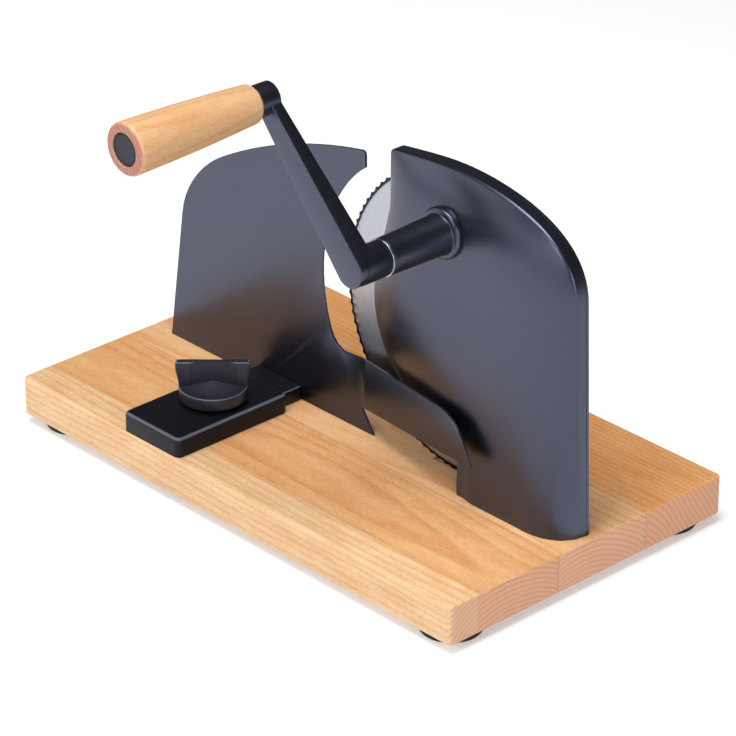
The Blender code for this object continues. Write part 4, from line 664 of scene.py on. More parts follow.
# Zinc-plated screws and turned shafts: bright, slightly cloudy
STEEL = make_grained("bright zinc-plated steel", "#b9bbbd", 0.3, 0.08, 0.0008, 0.00001, 1.0)
BRASS = make_grained("turned brass", "#c9a35a", 0.3, 0.06, 0.0008, 0.00001, 1.0)
POM = make_grained("white moulded acetal", "#dedbd0", 0.4, 0.04, 0.0006, 0.00001)
LOOKS = {
    "beech": BEECH, "handle_beech": HANDLE_BEECH, "black_coating": COATING, "black_plastic": ABS,
    "grey_plastic": CAP_ABS, "rubber": RUBBER, "blade_steel": BLADE_STEEL, "steel": STEEL,
    "brass": BRASS, "gear_plastic": POM,
}


# Board and feet

BOARD_CORNER = 0.004
BOARD_EDGE = 0.0011


def make_board():
    """The board: planed sides, rounded corners, eased edges, the blade's slot and the screws' holes."""
    under = BOARD_LOW.z
    board = block("beech_board", BOARD_LOW, BOARD_HIGH)
    round_edges(board, upright, BOARD_CORNER, 8)
    round_edges(board, lies_at(TOP, under), BOARD_EDGE, 3)
    reach = math.sqrt(BLADE_RADIUS**2 - (BLADE_AXIS[1] - TOP) ** 2) + 0.0036
    x, y, half, deep = BLADE_AXIS[0], BLADE_MIDDLE.y, 0.0018, 0.004
    cuts = [block("slot", (x - reach, y - half, TOP - deep), (x + reach, y + half, TOP + deep))]
    bored = (("body_screw", 3, 0.0048, 0.0023), ("clamp_housing_screw", 2, 0.0044, 0.0021))
    for kind, count, head, hole in bored:
        for number in range(1, count + 1):
            spot = middle_of(f"{kind}_{number}").xy
            runs = [(hole, under + 0.004), (head, under - PAST)]
            cuts.append(bore("counterbore", TOP + PAST, runs, "Z", spot, 48))
    for number in (1, 2, 3, 4):
        spot = middle_of(f"foot_screw_{number}").xy
        cuts.append(rod("pilot", 0.0021, under - PAST, under + 0.015, "Z", spot, 32))
    runs = [(0.0033, under + 0.0126), (0.0053, under + 0.0018), (0.0083, under - PAST)]
    cuts.append(bore("insert_seat", TOP + PAST, runs, "Z", middle_of("board_insert").xy, 48))
    combine(board, cuts)
    finish(board, "base", "beech", "base_board")


def make_feet():
    """Rubber feet: rounded pads with a recess for their screw."""
    low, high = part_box("foot_1")
    hole = 0.0021
    profile = rounded([
        (hole, high.z), (0.019, high.z, 0.0004), (0.0186, low.z, 0.0014), (0.009, low.z, 0.0006),
        (0.0088, low.z + 0.0032, 0.0004), (hole, low.z + 0.0032), (hole, high.z),
    ])
    first = turned("rubber_foot_1", profile, "Z", middle_of("foot_1").xy, 72)
    for number in (2, 3, 4):
        move = Matrix.Translation(middle_of(f"foot_{number}") - middle_of("foot_1"))
        finish(copied(first, f"rubber_foot_{number}", move), "base", "rubber", f"foot_{number}")
    finish(first, "base", "rubber", "foot_1")


def cross_screw(name, shank, head, rise, length, flush):
    """A screw that points down with its head's top at 0, with a cross recess."""
    if flush:
        profile = [(0.0, 0.0), (head, 0.0), (shank, -rise), (shank, -length + shank), (0.0, -length)]
    else:
        profile = rounded([
            (0.0, 0.0), (head * 0.80, 0.0, 0.0005), (head, -rise * 0.72, 0.0003), (head, -rise),
            (shank, -rise), (shank, -rise - length + shank), (0.0, -rise - length),
        ])
    screw = turned(name, profile, "Z", (0.0, 0.0), 48)
    arm, wide, deep = head * 0.52, head * 0.11, rise * 0.55
    cuts = [
        block("recess", (-arm, -wide, -deep), (arm, wide, deep)),
        block("recess", (-wide, -arm, -deep), (wide, arm, deep)),
    ]
    return combine(screw, cuts)


def make_screws():
    """Cross-recess screws: pan heads under the board, flush heads in the cover and the fence."""
    kinds = [
        ("foot_screw", (0.0018, 0.0042, 0.0020, 0.0150, False), 4, "base"),
        ("body_screw", (0.0020, 0.0042, 0.0024, 0.0315, False), 3, "base"),
        ("clamp_housing_screw", (0.0018, 0.0038, 0.0022, 0.0280, False), 2, "base"),
        ("cover_screw", (0.0012, 0.0023, 0.0011, 0.0080, True), 4, "base"),
        ("fence_screw", (0.0014, 0.0029, 0.0012, 0.0085, True), 2, "fence"),
    ]
    for kind, size, count, body in kinds:
        pattern = cross_screw(kind + "_pattern", *size)
        for number in range(1, count + 1):
            low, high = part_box(f"{kind}_{number}")
            middle = middle_of(f"{kind}_{number}")
            if size[-1]:
                spot = Matrix.Translation((middle.x, high.y, middle.z)) @ Matrix.Rotation(-math.pi / 2, 4, "X")
                turn = Matrix.Rotation(math.radians(25 + 40 * number), 4, "Z")
            else:
                spot = Matrix.Translation((middle.x, middle.y, low.z)) @ Matrix.Rotation(math.pi, 4, "X")
                turn = Matrix.Rotation(math.radians(15 + 35 * number), 4, "Z")
            screw = copied(pattern, f"cross_{kind}_{number}", spot @ turn)
            finish(screw, body, "steel", f"{kind}_{number}")
        bpy.data.objects.remove(pattern, do_unlink=True)


# Blade housing

# How many times finer than the plain model the outline is drawn
FINER = 4
RIM_ROUND = 0.0013
RIM_DEPTH = 0.007
WALL = 0.0022
MID_WALL = 0.0012
# Depth of the face over the flat back, how much of it goes by the top, and how square its shoulders are
CROWN = 0.0225
CROWN_DROP = 0.0035
CROWN_POWER = 1.8
# Rings of points on the face, and the rounds of work that spread them and stretch the face over them
RINGS = 36
SPREADING = 1500
STRETCHING = 900
BLADE_RISE = BLADE_AXIS[1] - TOP
BODY_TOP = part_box("body_housing")[1].z - TOP - GAP
# The left edge starts this far right of the blade's axis and runs round it at the waist's radius
LEFT_FOOT = 0.0196
WAIST = BLADE_RADIUS - 0.031
# The top edge is an arc round a point on the board, and the right edge leans in from its foot
TOP_X = BLADE_AXIS[0] + 0.0038
APEX = math.degrees(math.acos((BLADE_AXIS[0] + 0.012 - TOP_X) / BODY_TOP))
RIGHT_FOOT = BLADE_AXIS[0] + BLADE_RADIUS + 0.008
RIGHT_LEAN = 0.0355


def smooth(value):
    """A smooth step from 0 to 1, for a number or an array."""
    value = np.clip(value, 0.0, 1.0)
    return value * value * (3 - 2 * value)


def left_outline():
    """Left edge from the board, round the open part of the blade and up to the apex, as (x, rise)."""
    hub = (BLADE_AXIS[0], BLADE_RISE)
    foot = (BLADE_AXIS[0] + LEFT_FOOT, 0.0)
    fillet_round, corner_round = 0.014, 0.003
    fillet_x = foot[0] - 0.0015 - fillet_round
    fillet_drop = math.sqrt((WAIST + fillet_round) ** 2 - (fillet_x - BLADE_AXIS[0]) ** 2)
    fillet = (fillet_x, BLADE_RISE - fillet_drop)
    turn_low = math.degrees(math.atan2(fillet[1] - hub[1], fillet[0] - hub[0]))
    # the edge leaves the waist at this angle and bends upright
    leaving, bend = 165, 0.009
    edge_x = BLADE_AXIS[0] - 0.0520
    leave = polar(hub, WAIST, leaving)
    lean = math.radians(leaving - 90)
    meet = (edge_x, leave[1] + (edge_x - leave[0]) * math.tan(lean))
    before = Vector(meet) - Vector((math.cos(lean), math.sin(lean))) * bend
    # a small round corner, and a short curve from it into the top edge
    corner_x = edge_x + corner_round
    corner_z = math.sqrt((BODY_TOP - corner_round) ** 2 - (corner_x - TOP_X) ** 2) + 0.0022
    turn, join_turn, pull = 98.0, APEX + 6.5, 0.011
    begin = polar((corner_x, corner_z), corner_round, turn)
    join = polar((TOP_X, 0.0), BODY_TOP, join_turn)
    slope = math.radians(turn)
    begin_pull = Vector(begin) + Vector((math.sin(slope), -math.cos(slope))) * pull
    slope = math.radians(join_turn)
    join_pull = Vector(join) + Vector((-math.sin(slope), math.cos(slope))) * pull
    points = line(foot, (fillet_x + fillet_round, fillet[1]), FINER)
    points += arc(fillet, fillet_round, 0, turn_low + 180, 4 * FINER)
    points += arc(hub, WAIST, turn_low, leaving - 360, 9 * FINER)
    points += line(leave, before, FINER)
    points += bend_between(before, meet, meet, (edge_x, meet[1] + bend), 2 * FINER)
    points += line((edge_x, meet[1] + bend), (edge_x, corner_z), 2 * FINER)
    points += arc((corner_x, corner_z), corner_round, 180, turn, 2 * FINER)
    points += bend_between(begin, begin_pull, join_pull, join, 3 * FINER)
    points += arc((TOP_X, 0.0), BODY_TOP, join_turn, APEX, FINER)
    points.append(polar((TOP_X, 0.0), BODY_TOP, APEX))
    return points


def right_outline():
    """Right edge from the board up over the shoulder to the apex, as (x, rise)."""
    shoulder = BODY_TOP - 0.0522
    low = (RIGHT_FOOT - RIGHT_LEAN * shoulder, shoulder)
    start_x = BLADE_AXIS[0] + 0.033
    high = (start_x, math.sqrt(BODY_TOP**2 - (start_x - TOP_X) ** 2))
    along = Vector((high[1], TOP_X - high[0]))
    upwards = Vector((-RIGHT_LEAN, 1.0))
    between = Vector(high) - Vector(low)
    meet = Vector(low) + upwards * (between.cross(along) / upwards.cross(along))
    high_pull = Vector(high).lerp(meet, 0.613)
    low_pull = Vector(low).lerp(meet, 0.695)
    begin = math.degrees(math.acos((start_x - TOP_X) / BODY_TOP))
    points = line((RIGHT_FOOT, 0.0), low, 10 * FINER)
    points += bend_between(low, low_pull, high_pull, high, 12 * FINER)
    points += arc((TOP_X, 0.0), BODY_TOP, begin, APEX, 3 * FINER)
    points.append(polar((TOP_X, 0.0), BODY_TOP, APEX))
    return points


def shares_of(points):
    """Share of the path's length at each point."""
    reached = [0.0]
    for one, two in zip(points, points[1:]):
        reached.append(reached[-1] + math.dist(one, two))
    return [value / reached[-1] for value in reached]


def outward(points, k, hand):
    """Outward direction of an outline at point k; hand is 1 for the left half and -1 for the right half."""
    if k == 0:
        return Vector((-hand, 0.0))
    along = (Vector(points[min(k + 1, len(points) - 1)]) - Vector(points[k - 1])).normalized()
    return Vector((-along.y, along.x)) * hand


def left_ramp(share):
    """How far the left side spreads outwards to the flat back, which leads the slice off the blade."""
    return 0.005 * (1 - smooth((share - 0.74) / 0.05))


def housing_loop():
    """The housing's outline as a closed loop of (place, outward direction, rim depth, ramp).

    The rim depth is None along the board.
    """
    left, right = left_outline(), right_outline()
    loop = []
    for k, (point, share) in enumerate(zip(left, shares_of(left))):
        low = 0.021 - 0.015 * smooth(share / 0.25)
        rim = low + (RIM_DEPTH - low) * smooth((share - 0.6) / 0.4)
        loop.append((Vector(point), outward(left, k, 1), rim, left_ramp(share)))
    for k in range(len(right) - 2, -1, -1):
        rim = RIM_DEPTH - (RIM_DEPTH - GAP) * smooth(1 - right[k][1] / 0.075)
        loop.append((Vector(right[k]), outward(right, k, -1), rim, 0.0))
    for spot in line(right[0], left[0], 30)[1:]:
        loop.append((Vector(spot), Vector((0.0, -1.0)), None, 0.0))
    return loop


def spread_rings(loop, levels):
    """Rings of points from the outline to one point in the middle, relaxed so that they never cross."""
    edge = np.array([place for place, _, _, _ in loop])
    near = np.array([place - away * RIM_ROUND for place, away, _, _ in loop])
    heart = np.array((BLADE_AXIS[0] + 0.036, 0.085))
    shares = np.linspace(0.0, 1.0, levels)[None, :, None]
    rings = near[:, None] * (1 - shares) + heart * shares
    for _ in range(SPREADING):
        ahead, behind = np.roll(rings, -1, 0), np.roll(rings, 1, 0)
        rings[:, 1:-1] = (ahead[:, 1:-1] + behind[:, 1:-1] + rings[:, 2:] + rings[:, :-2]) / 4
        rings[:, -1] = rings[:, -2].mean(0)
    packed = rings.copy()
    for k in range(len(loop)):
        steps = np.r_[0.0, np.cumsum(np.hypot(*np.diff(rings[k], axis=0).T))]
        wanted = steps[-1] * np.linspace(0.0, 1.0, levels) ** 1.5
        packed[k, :, 0] = np.interp(wanted, steps, rings[k, :, 0])
        packed[k, :, 1] = np.interp(wanted, steps, rings[k, :, 1])
    return np.concatenate((edge[:, None], packed), 1)


def stretched_skin(points, faces, fixed, values, load):
    """Heights of a skin stretched over a flat mesh: held at the fixed points, pushed up by a load."""
    rows, columns, weights = [], [], []
    area = np.zeros(len(points))
    for k in range(3):
        one, two, three = faces[:, k], faces[:, (k + 1) % 3], faces[:, (k + 2) % 3]
        a, b = points[one] - points[three], points[two] - points[three]
        cross = np.abs(a[:, 0] * b[:, 1] - a[:, 1] * b[:, 0]) + 1e-12
        pull = (a * b).sum(1) / cross / 2
        rows += [one, two]
        columns += [two, one]
        weights += [pull, pull]
        area += np.bincount(one, cross / 6, len(points))
    rows, columns, weights = np.concatenate(rows), np.concatenate(columns), np.concatenate(weights)
    total = np.bincount(rows, weights, len(points))
    free = ~fixed

    def pulled(skin):
        return (total * skin - np.bincount(rows, weights * skin[columns], len(points))) * free

    skin = np.where(fixed, values, 0.0)
    rest = (load * area) * free - pulled(skin)
    way = rest.copy()
    power = rest @ rest
    for _ in range(STRETCHING):
        drawn = pulled(way)
        step = power / (way @ drawn)
        skin += step * way
        rest -= step * drawn
        after = rest @ rest
        if after < 1e-22:
            break
        way = rest + (after / power) * way
        power = after
    return skin


def housing_depths(loop, rings):
    """Depth of the housing's face in front of its flat back at every ring point."""
    count, levels = rings.shape[:2]
    number = np.arange(count * levels).reshape(count, levels)
    number[:, -1] = number[0, -1]
    one, two = number, np.roll(number, -1, 0)
    faces = np.concatenate((
        np.stack((one[:, :-1], two[:, :-1], two[:, 1:]), 2).reshape(-1, 3),
        np.stack((one[:, :-1], two[:, 1:], one[:, 1:]), 2).reshape(-1, 3),
    ))
    faces = faces[(faces[:, 0] != faces[:, 1]) & (faces[:, 1] != faces[:, 2]) & (faces[:, 0] != faces[:, 2])]
    points = rings.reshape(-1, 2)
    rims = np.array([-1.0 if rim is None else rim for _, _, rim, _ in loop])
    fixed, held = np.zeros((count, levels), bool), np.zeros((count, levels))
    fixed[:, 0] = rims >= 0
    held[:, 0] = np.maximum(rims, 0.0)
    fixed, held = fixed.ravel(), held.ravel()
    used = np.isin(np.arange(len(points)), faces)
    level = stretched_skin(points, faces, fixed | ~used, held, 0.0)
    bulge = stretched_skin(points, faces, fixed | ~used, held * 0.0, 1.0)
    bulge = bulge / bulge.max()
    x, z = points[:, 0], points[:, 1]
    crown = CROWN - CROWN_DROP * np.clip(z / 0.16, 0.0, 1.0)
    gentle = 1 - (1 - bulge) ** (CROWN_POWER + 1.1 * np.clip((z - 0.09) / 0.06, 0.0, 1.0))
    # near the board the face is full: it rises at once from the left edge and rounds off on the right
    right = RIGHT_FOOT - RIGHT_LEAN * z
    round_off = np.sqrt(1 - (1 - np.clip((right - x) / 0.029, 0.0, 1.0)) ** 2)
    rise = 1 - (1 - np.clip((x - BLADE_AXIS[0] - LEFT_FOOT) / 0.016, 0.0, 1.0)) ** 2
    side = smooth((x - BLADE_AXIS[0] - 0.048 + 0.29 * z) / 0.012 + 0.5)
    full = smooth(1 - z / 0.075) * side + smooth(1 - z / 0.055) * (1 - side)
    gentle += np.maximum(np.minimum(rise, round_off) - gentle, 0.0) * full
    # the face is a little hollow behind the guide's lip, which comes close in the thinnest setting
    inward = WAIST - np.hypot(x - BLADE_AXIS[0], z - BLADE_RISE)
    across, upwards = (x - 0.063) / 0.024, (z - 0.053) / 0.018
    hollow = 0.0025 * np.exp(-(across**2) - upwards**2) * smooth(inward / 0.012)
    depths = (level + (crown - level) * gentle - hollow).reshape(count, levels)
    depths[:, -1] = depths[0, -1]
    return depths


def make_body():
    """The cast housing: a domed shell with a rounded rim, its bearing pad and the posts inside."""
    loop = housing_loop()
    rings = spread_rings(loop, RINGS)
    depths = housing_depths(loop, rings)
    rows, steps = [], 5
    for k, (place, away, rim, ramp) in enumerate(loop + loop[:1]):
        k %= len(loop)
        face = [Vector((x, BODY_BACK - d, z)) for (x, z), d in zip(rings[k], depths[k])]
        if rim is None:
            rows.append([face[0]] * (steps + 2) + face[1:])
            continue
        foot = place + away * ramp
        back, corner, on = Vector((foot.x, BODY_BACK, foot.y)), face[0], face[1]
        side = corner + (back - corner).normalized() * min(RIM_ROUND, (back - corner).length / 2)
        parts = [t / steps for t in range(steps + 1)]
        turn = [side.lerp(corner, part).lerp(corner.lerp(on, part), part) for part in parts]
        rows.append([back] + turn + face[2:])
    wide, high = max(len(row) for row in rows), len(rows)
    rows = [row[:1] * (wide - len(row)) + row for row in rows]
    bpy.ops.object.select_all(action="DESELECT")
    bpy.ops.mesh.primitive_grid_add(x_subdivisions=wide - 1, y_subdivisions=high - 1, size=1.0)
    body = newest("housing_shell")
    for k, vertex in enumerate(body.data.vertices):
        vertex.co = rows[k // wide][k % wide] + Vector((0.0, 0.0, TOP + GAP))
    tidy(body)
    # the shell stands open on the board
    choose(body, "FACE", lambda *corners: all(corner.z < TOP + GAP + 0.00001 for corner in corners))
    bpy.ops.mesh.delete(type="FACE")
    leave_edit()
    wall = body.modifiers.new("wall", "SOLIDIFY")
    wall.thickness = WALL
    wall.offset = -1.0
    bpy.ops.object.modifier_apply(modifier="wall")
    for vertex in body.data.vertices:
        vertex.co.y = min(vertex.co.y, BODY_BACK)
        vertex.co.z = max(vertex.co.z, TOP + GAP)
    near = rings.reshape(-1, 2)

    def wall_at(x, z, radius):
        """The middle of the wall where it is shallowest over a round footprint."""
        away = np.hypot(near[:, 0] - x, near[:, 1] - z + TOP)
        shallowest = depths.ravel()[away < max(radius + 0.0004, away.min() + 0.0001)].min()
        return BODY_BACK - shallowest + MID_WALL

    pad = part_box("bearing_tube")[1].y - SPIGOT + GAP
    pad_back, pad_radius, post_radius = BODY_BACK - 0.0099, 0.0153, 0.0131
    bush_low, bush_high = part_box("spindle_bush")
    profile = rounded([(0.0, pad_back), (pad_radius, pad_back), (pad_radius, pad, 0.0002), (0.0, pad)])
    raised = [turned("bearing_pad", profile, "Y", CRANK_AXIS, 128)]
    inside = wall_at(*BLADE_AXIS, post_radius)
    raised.append(rod("spindle_post", post_radius, inside, bush_high.y, "Y", BLADE_AXIS))
    rim_places = [place + Vector((0.0, TOP + GAP)) for place, _, rim, _ in loop if rim is not None]
    for number in (1, 2, 3, 4):
        spot = middle_of(f"cover_screw_{number}").xz
        thick = min(0.0036, min((place - spot).length for place in rim_places) - 0.0006)
        raised.append(rod("cover_post", thick, wall_at(*spot, thick), BODY_BACK - 0.00004, "Y", spot, 40))
    combine(body, raised, "UNION")
    bores = [
        rod("spigot_bore", 0.0115, pad - 0.003, BODY_BACK, "Y", CRANK_AXIS),
        rod("bush_bore", 0.0090, bush_low.y - GAP, BODY_BACK, "Y", BLADE_AXIS),
    ]
    for number in (1, 2, 3, 4):
        spot = middle_of(f"cover_screw_{number}")
        bores.append(rod("screw_hole", 0.0015, spot.y - 0.0045, BODY_BACK + PAST, "Y", spot.xz, 24))
    combine(body, bores)
    close_slits(body)
    finish(body, "base", "black_coating", "body_housing")


def make_cover():
    """The flat rear cover round the blade, with countersunk seats for its screws."""
    left, right = left_outline(), right_outline()
    ring = []
    for k, (point, share) in enumerate(zip(left, shares_of(left))):
        spot = Vector(point) + outward(left, k, 1) * left_ramp(share)
        ring.append((spot.x, TOP + GAP + spot.y))
    ring += [(x, TOP + GAP + z) for x, z in right[-2::-1]]
    low, high = (corner.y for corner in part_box("back_cover"))
    cover = outlined("rear_cover", ring, low, high)
    cuts = [rod("opening", BLADE_RADIUS + 0.0015, low - PAST, high + PAST, "Y", BLADE_AXIS, 240)]
    hole, head = 0.0015, 0.0029
    profile = [(0.0, high + GAP), (head, high + GAP), (hole, high - 0.00125), (hole, low - PAST),
               (0.0, low - PAST)]
    for number in (1, 2, 3, 4):
        cuts.append(turned("seat", profile, "Y", middle_of(f"cover_screw_{number}").xz, 40))
    combine(cover, cuts)
    soften(cover, 0.00035, 2, 50)
    finish(cover, "base", "black_coating", "back_cover")


# Drive


def make_bearing():
    """The bearing tube with its flange and spigot, and the bright ring between arm and tube."""
    low, high = (corner.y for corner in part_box("bearing_tube"))
    flange, inner, spigot, rim = high - SPIGOT, 0.0080, 0.0112, 0.0157
    profile = rounded([
        (inner, high), (spigot, high, 0.0003), (spigot, flange), (rim, flange, 0.0003),
        (rim, flange - 0.0042, 0.0019), (0.0126, flange - 0.0044, 0.0005), (0.0122, flange - 0.0056),
        (0.0112, low, 0.0007), (inner, low, 0.0003), (inner, high),
    ], 5)
    tube = turned("bearing_tube_shell", profile, "Y", CRANK_AXIS, 128)
    finish(tube, "base", "black_coating", "bearing_tube")
    low, high = (corner.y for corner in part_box("thrust_ring"))
    inner, outer = 0.0053, 0.0114
    profile = rounded([
        (inner, high), (outer, high, 0.0003), (outer, low, 0.0003), (inner, low), (inner, high),
    ], 3)
    ring = turned("steel_thrust_ring", profile, "Y", CRANK_AXIS, 128)
    finish(ring, "crank", "steel", "thrust_ring")


# The boss that carries the handle ends here, a hair before the wood
BOSS_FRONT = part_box("crank_arm")[0].y - 0.0044


def make_arm():
    """The cast crank arm: a tapered bar between two bosses, every edge eased."""
    shaft, handle = Vector(CRANK_AXIS), Vector(HANDLE_AXIS)
    # half the bar's width and its whole thickness at the shaft and at the handle
    wide, narrow, thick, thin = 0.0106, 0.0064, 0.0128, 0.0072
    run = handle - shaft
    heading = math.degrees(math.atan2(run.y, run.x))
    tilt = math.degrees(math.asin((wide - narrow) / run.length))
    outline = arc(shaft, wide, heading + 90 - tilt, heading + 270 + tilt, 40)
    outline.append(polar(shaft, wide, heading + 270 + tilt))
    outline += arc(handle, narrow, heading - 90 + tilt, heading + 90 - tilt, 28)
    outline.append(polar(handle, narrow, heading + 90 - tilt))
    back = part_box("thrust_ring")[0].y - GAP
    front = back - 0.0125 - 0.0115
    arm = outlined("crank_arm_casting", outline, front, front + thick)
    for vertex in arm.data.vertices:
        if vertex.co.y > front + 0.005:
            share = min(1.0, max(0.0, (vertex.co.xz - shaft).dot(run) / run.length_squared))
            vertex.co.y = front + thick + (thin - thick) * share
    soften(arm, 0.0006, 3, 50)
    root, boss = front + 0.0070, 0.0095
    near_handle = rounded([(0.0, root), (boss, root), (boss, BOSS_FRONT, 0.0007), (0.0, BOSS_FRONT)])
    root, boss = front + 0.0057, 0.0109
    on_shaft = rounded([(0.0, back), (boss, back, 0.0005), (boss, root), (0.0, root)])
    bosses = [turned("boss", on_shaft, "Y", shaft, 96), turned("boss", near_handle, "Y", handle, 96)]
    combine(arm, bosses, "UNION")
    cuts = [
        rod("socket", 0.0053, front + 0.003, back + GAP, "Y", shaft),
        rod("pin_socket", 0.0038, BOSS_FRONT - 0.0003, front + 0.00265, "Y", handle),
    ]
    combine(arm, cuts)
    close_slits(arm)
    finish(arm, "crank", "black_coating", "crank_arm")


def make_handle():
    """The turned handle: a slightly bellied cone with rounded ends, and the round cap in its free end."""
    start, end = BOSS_FRONT - GAP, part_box("handle_grip")[0].y
    turn = 0.0025
    first, last = start - turn, end + turn
    sides, count = [], 24
    for k in range(count + 1):
        share = k / count
        radius = 0.0117 + 0.0039 * share + 0.0006 * math.sin(math.pi * share)
        sides.append((radius, first + (last - first) * share))
    angles = [math.pi / 2 * k / 6 for k in range(7)]
    near = [(0.0092 + turn * math.sin(a), first + turn * math.cos(a)) for a in angles[:-1]]
    far = [(0.0131 + turn * math.cos(a), last - turn * math.sin(a)) for a in angles[1:]]
    front, back = (corner.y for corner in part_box("handle_cap"))
    seat, wide, bore_radius, pin = back + GAP, 0.0098, 0.0073, 0.0038
    profile = [(pin, start)] + near + sides + far
    profile += [(0.0100, end), (wide, end + 0.0002), (wide, seat), (bore_radius, seat),
                (bore_radius, seat + 0.0046), (pin, seat + 0.0046), (pin, start)]
    grip = turned("beech_handle", profile, "Y", HANDLE_AXIS, 128)
    finish(grip, "handle", "handle_beech", "handle_grip")
    profile = rounded([
        (0.0, back), (0.0095, back), (0.0095, front, 0.0006), (0.0084, front, 0.0002),
        (0.0081, front + 0.0003, 0.0002), (0.0, front + 0.0002),
    ])
    cap = turned("handle_end_cap", profile, "Y", HANDLE_AXIS, 128)
    finish(cap, "handle", "grey_plastic", "handle_cap")


# Blade


def make_blade():
    """The round blade: flat, ground towards a scalloped edge with a hollow-ground wave every 6.3 mm."""
    front, back = BLADE_LOW.y, BLADE_HIGH.y
    middle, half = (front + back) / 2, (back - front) / 2
    # how far in from the edge, and how much of half the thickness is ground away there
    grind = [(0.0082, 0.0), (0.0080, 0.01), (0.006, 0.12), (0.0040, 0.30), (0.0034, 0.40), (0.0022, 0.72),
             (0.0010, 0.88), (0.0, 0.96)]
    rings = [(BLADE_RADIUS - inset, share) for inset, share in grind]
    flat = [(0.0083, 0.0), (0.030, 0.0), (0.060, 0.0)]
    profile = [(radius, back - half * share) for radius, share in flat + rings]
    profile += [(radius, front + half * share) for radius, share in (flat + rings)[::-1]]
    blade = turned("scalloped_blade", profile + profile[:1], "Y", BLADE_AXIS, 768)
    centre = Vector(BLADE_AXIS)
    for vertex in blade.data.vertices:
        spoke = vertex.co.xz - centre
        reach = spoke.length
        if reach < BLADE_RADIUS - 0.0050:
            continue
        wave = abs(math.sin(48 * math.atan2(spoke.y, spoke.x)))
        share = min(1.0, (reach - BLADE_RADIUS + 0.0050) / 0.0035)
        spoke *= (reach - 0.0012 * wave * share) / reach
        vertex.co.x, vertex.co.z = centre.x + spoke.x, centre.y + spoke.y
        if BLADE_RADIUS - 0.0045 < reach < BLADE_RADIUS - 0.0005:
            vertex.co.y = middle + (vertex.co.y - middle) * (1 - 0.45 * wave)
    cuts = []
    for number in range(3):
        spot = polar(BLADE_AXIS, 0.0125, 90 + 120 * number)
        cuts.append(rod("drive_hole", 0.0023, front - PAST, back + PAST, "Y", spot, 32))
    combine(blade, cuts)
    finish(blade, "blade", "blade_steel", "blade", angle=20)
    low, high = (corner.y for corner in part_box("blade_clamp_screw"))
    under, rim, shank = high - 0.0022, 0.0170, 0.0027
    profile = rounded([
        (0.0, high), (0.0152, high, 0.0008), (rim, high - 0.0011, 0.0004), (rim, under),
        (shank, under), (shank, low), (0.0, low),
    ])
    screw = turned("coin_screw", profile, "Y", BLADE_AXIS, 96)
    (x, z), long, deep, wide = BLADE_AXIS, 0.0119, 0.0012, 0.001
    slot = block("coin_slot", (x - long, high - deep, z - wide), (x + long, high + deep, z + wide))
    combine(screw, [slot])
    finish(screw, "blade", "steel", "blade_clamp_screw")


# Fence and clamp


def make_fence():
    """The fence plate with its bent guide, its edges eased, and the slider that carries it."""
    fence = from_model("fence_plate", "fence_sheet")
    # the horn's lower edge runs a little nearer to the blade towards its tip
    for vertex in fence.data.vertices:
        spoke = vertex.co.xz - Vector(BLADE_AXIS)
        if spoke.length < 0.1103 and spoke.x < 0 and spoke.y > 0.050:
            vertex.co.z -= 0.0039 * min(1.0, (vertex.co.x - BLADE_AXIS[0] + 0.1022) / 0.0304)
    soften(fence, 0.0003, 2, 50)
    finish(fence, "fence", "black_coating", "fence_plate", angle=25)
    low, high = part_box("fence_slider")
    slider = block("slotted_slider", low, high)
    soften(slider, 0.0012, 4, 60)
    x, y = CLAMP
    half, towards, away = 0.0036, 0.0033, 0.012
    start, end = y - towards - half - GAP, y + away + half + GAP
    slot = block("slot", (x - half, start, low.z - PAST), (x + half, end, high.z + PAST))
    round_edges(slot, upright, half * 0.98, 8)
    combine(slider, [slot])
    finish(slider, "fence", "black_plastic", "fence_slider")


def make_clamp():
    """The clamp housing over the slider: rounded corners, a soft top edge and the slider's channel."""
    low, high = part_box("clamp_housing")
    housing = block("clamp_housing_shell", low, high)
    round_edges(housing, upright, 0.004, 8)
    round_edges(housing, lies_at(high.z), 0.0027, 6)
    slide_low, slide_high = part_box("fence_slider")
    play = 0.0004
    half = (slide_high.x - slide_low.x) / 2 + play
    start = (CLAMP[0] - half, low.y + 0.011, low.z - PAST)
    end = (CLAMP[0] + half, high.y + PAST, slide_high.z + play)
    cuts = [block("channel", start, end), rod("stud_hole", 0.0033, low.z, high.z + PAST, "Z", CLAMP, 40)]
    for number in (1, 2):
        screw = f"clamp_housing_screw_{number}"
        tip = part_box(screw)[1].z + GAP
        cuts.append(rod("hole", 0.0021, low.z - PAST, tip, "Z", middle_of(screw).xy, 32))
    combine(housing, cuts)
    finish(housing, "base", "black_plastic", "clamp_housing")


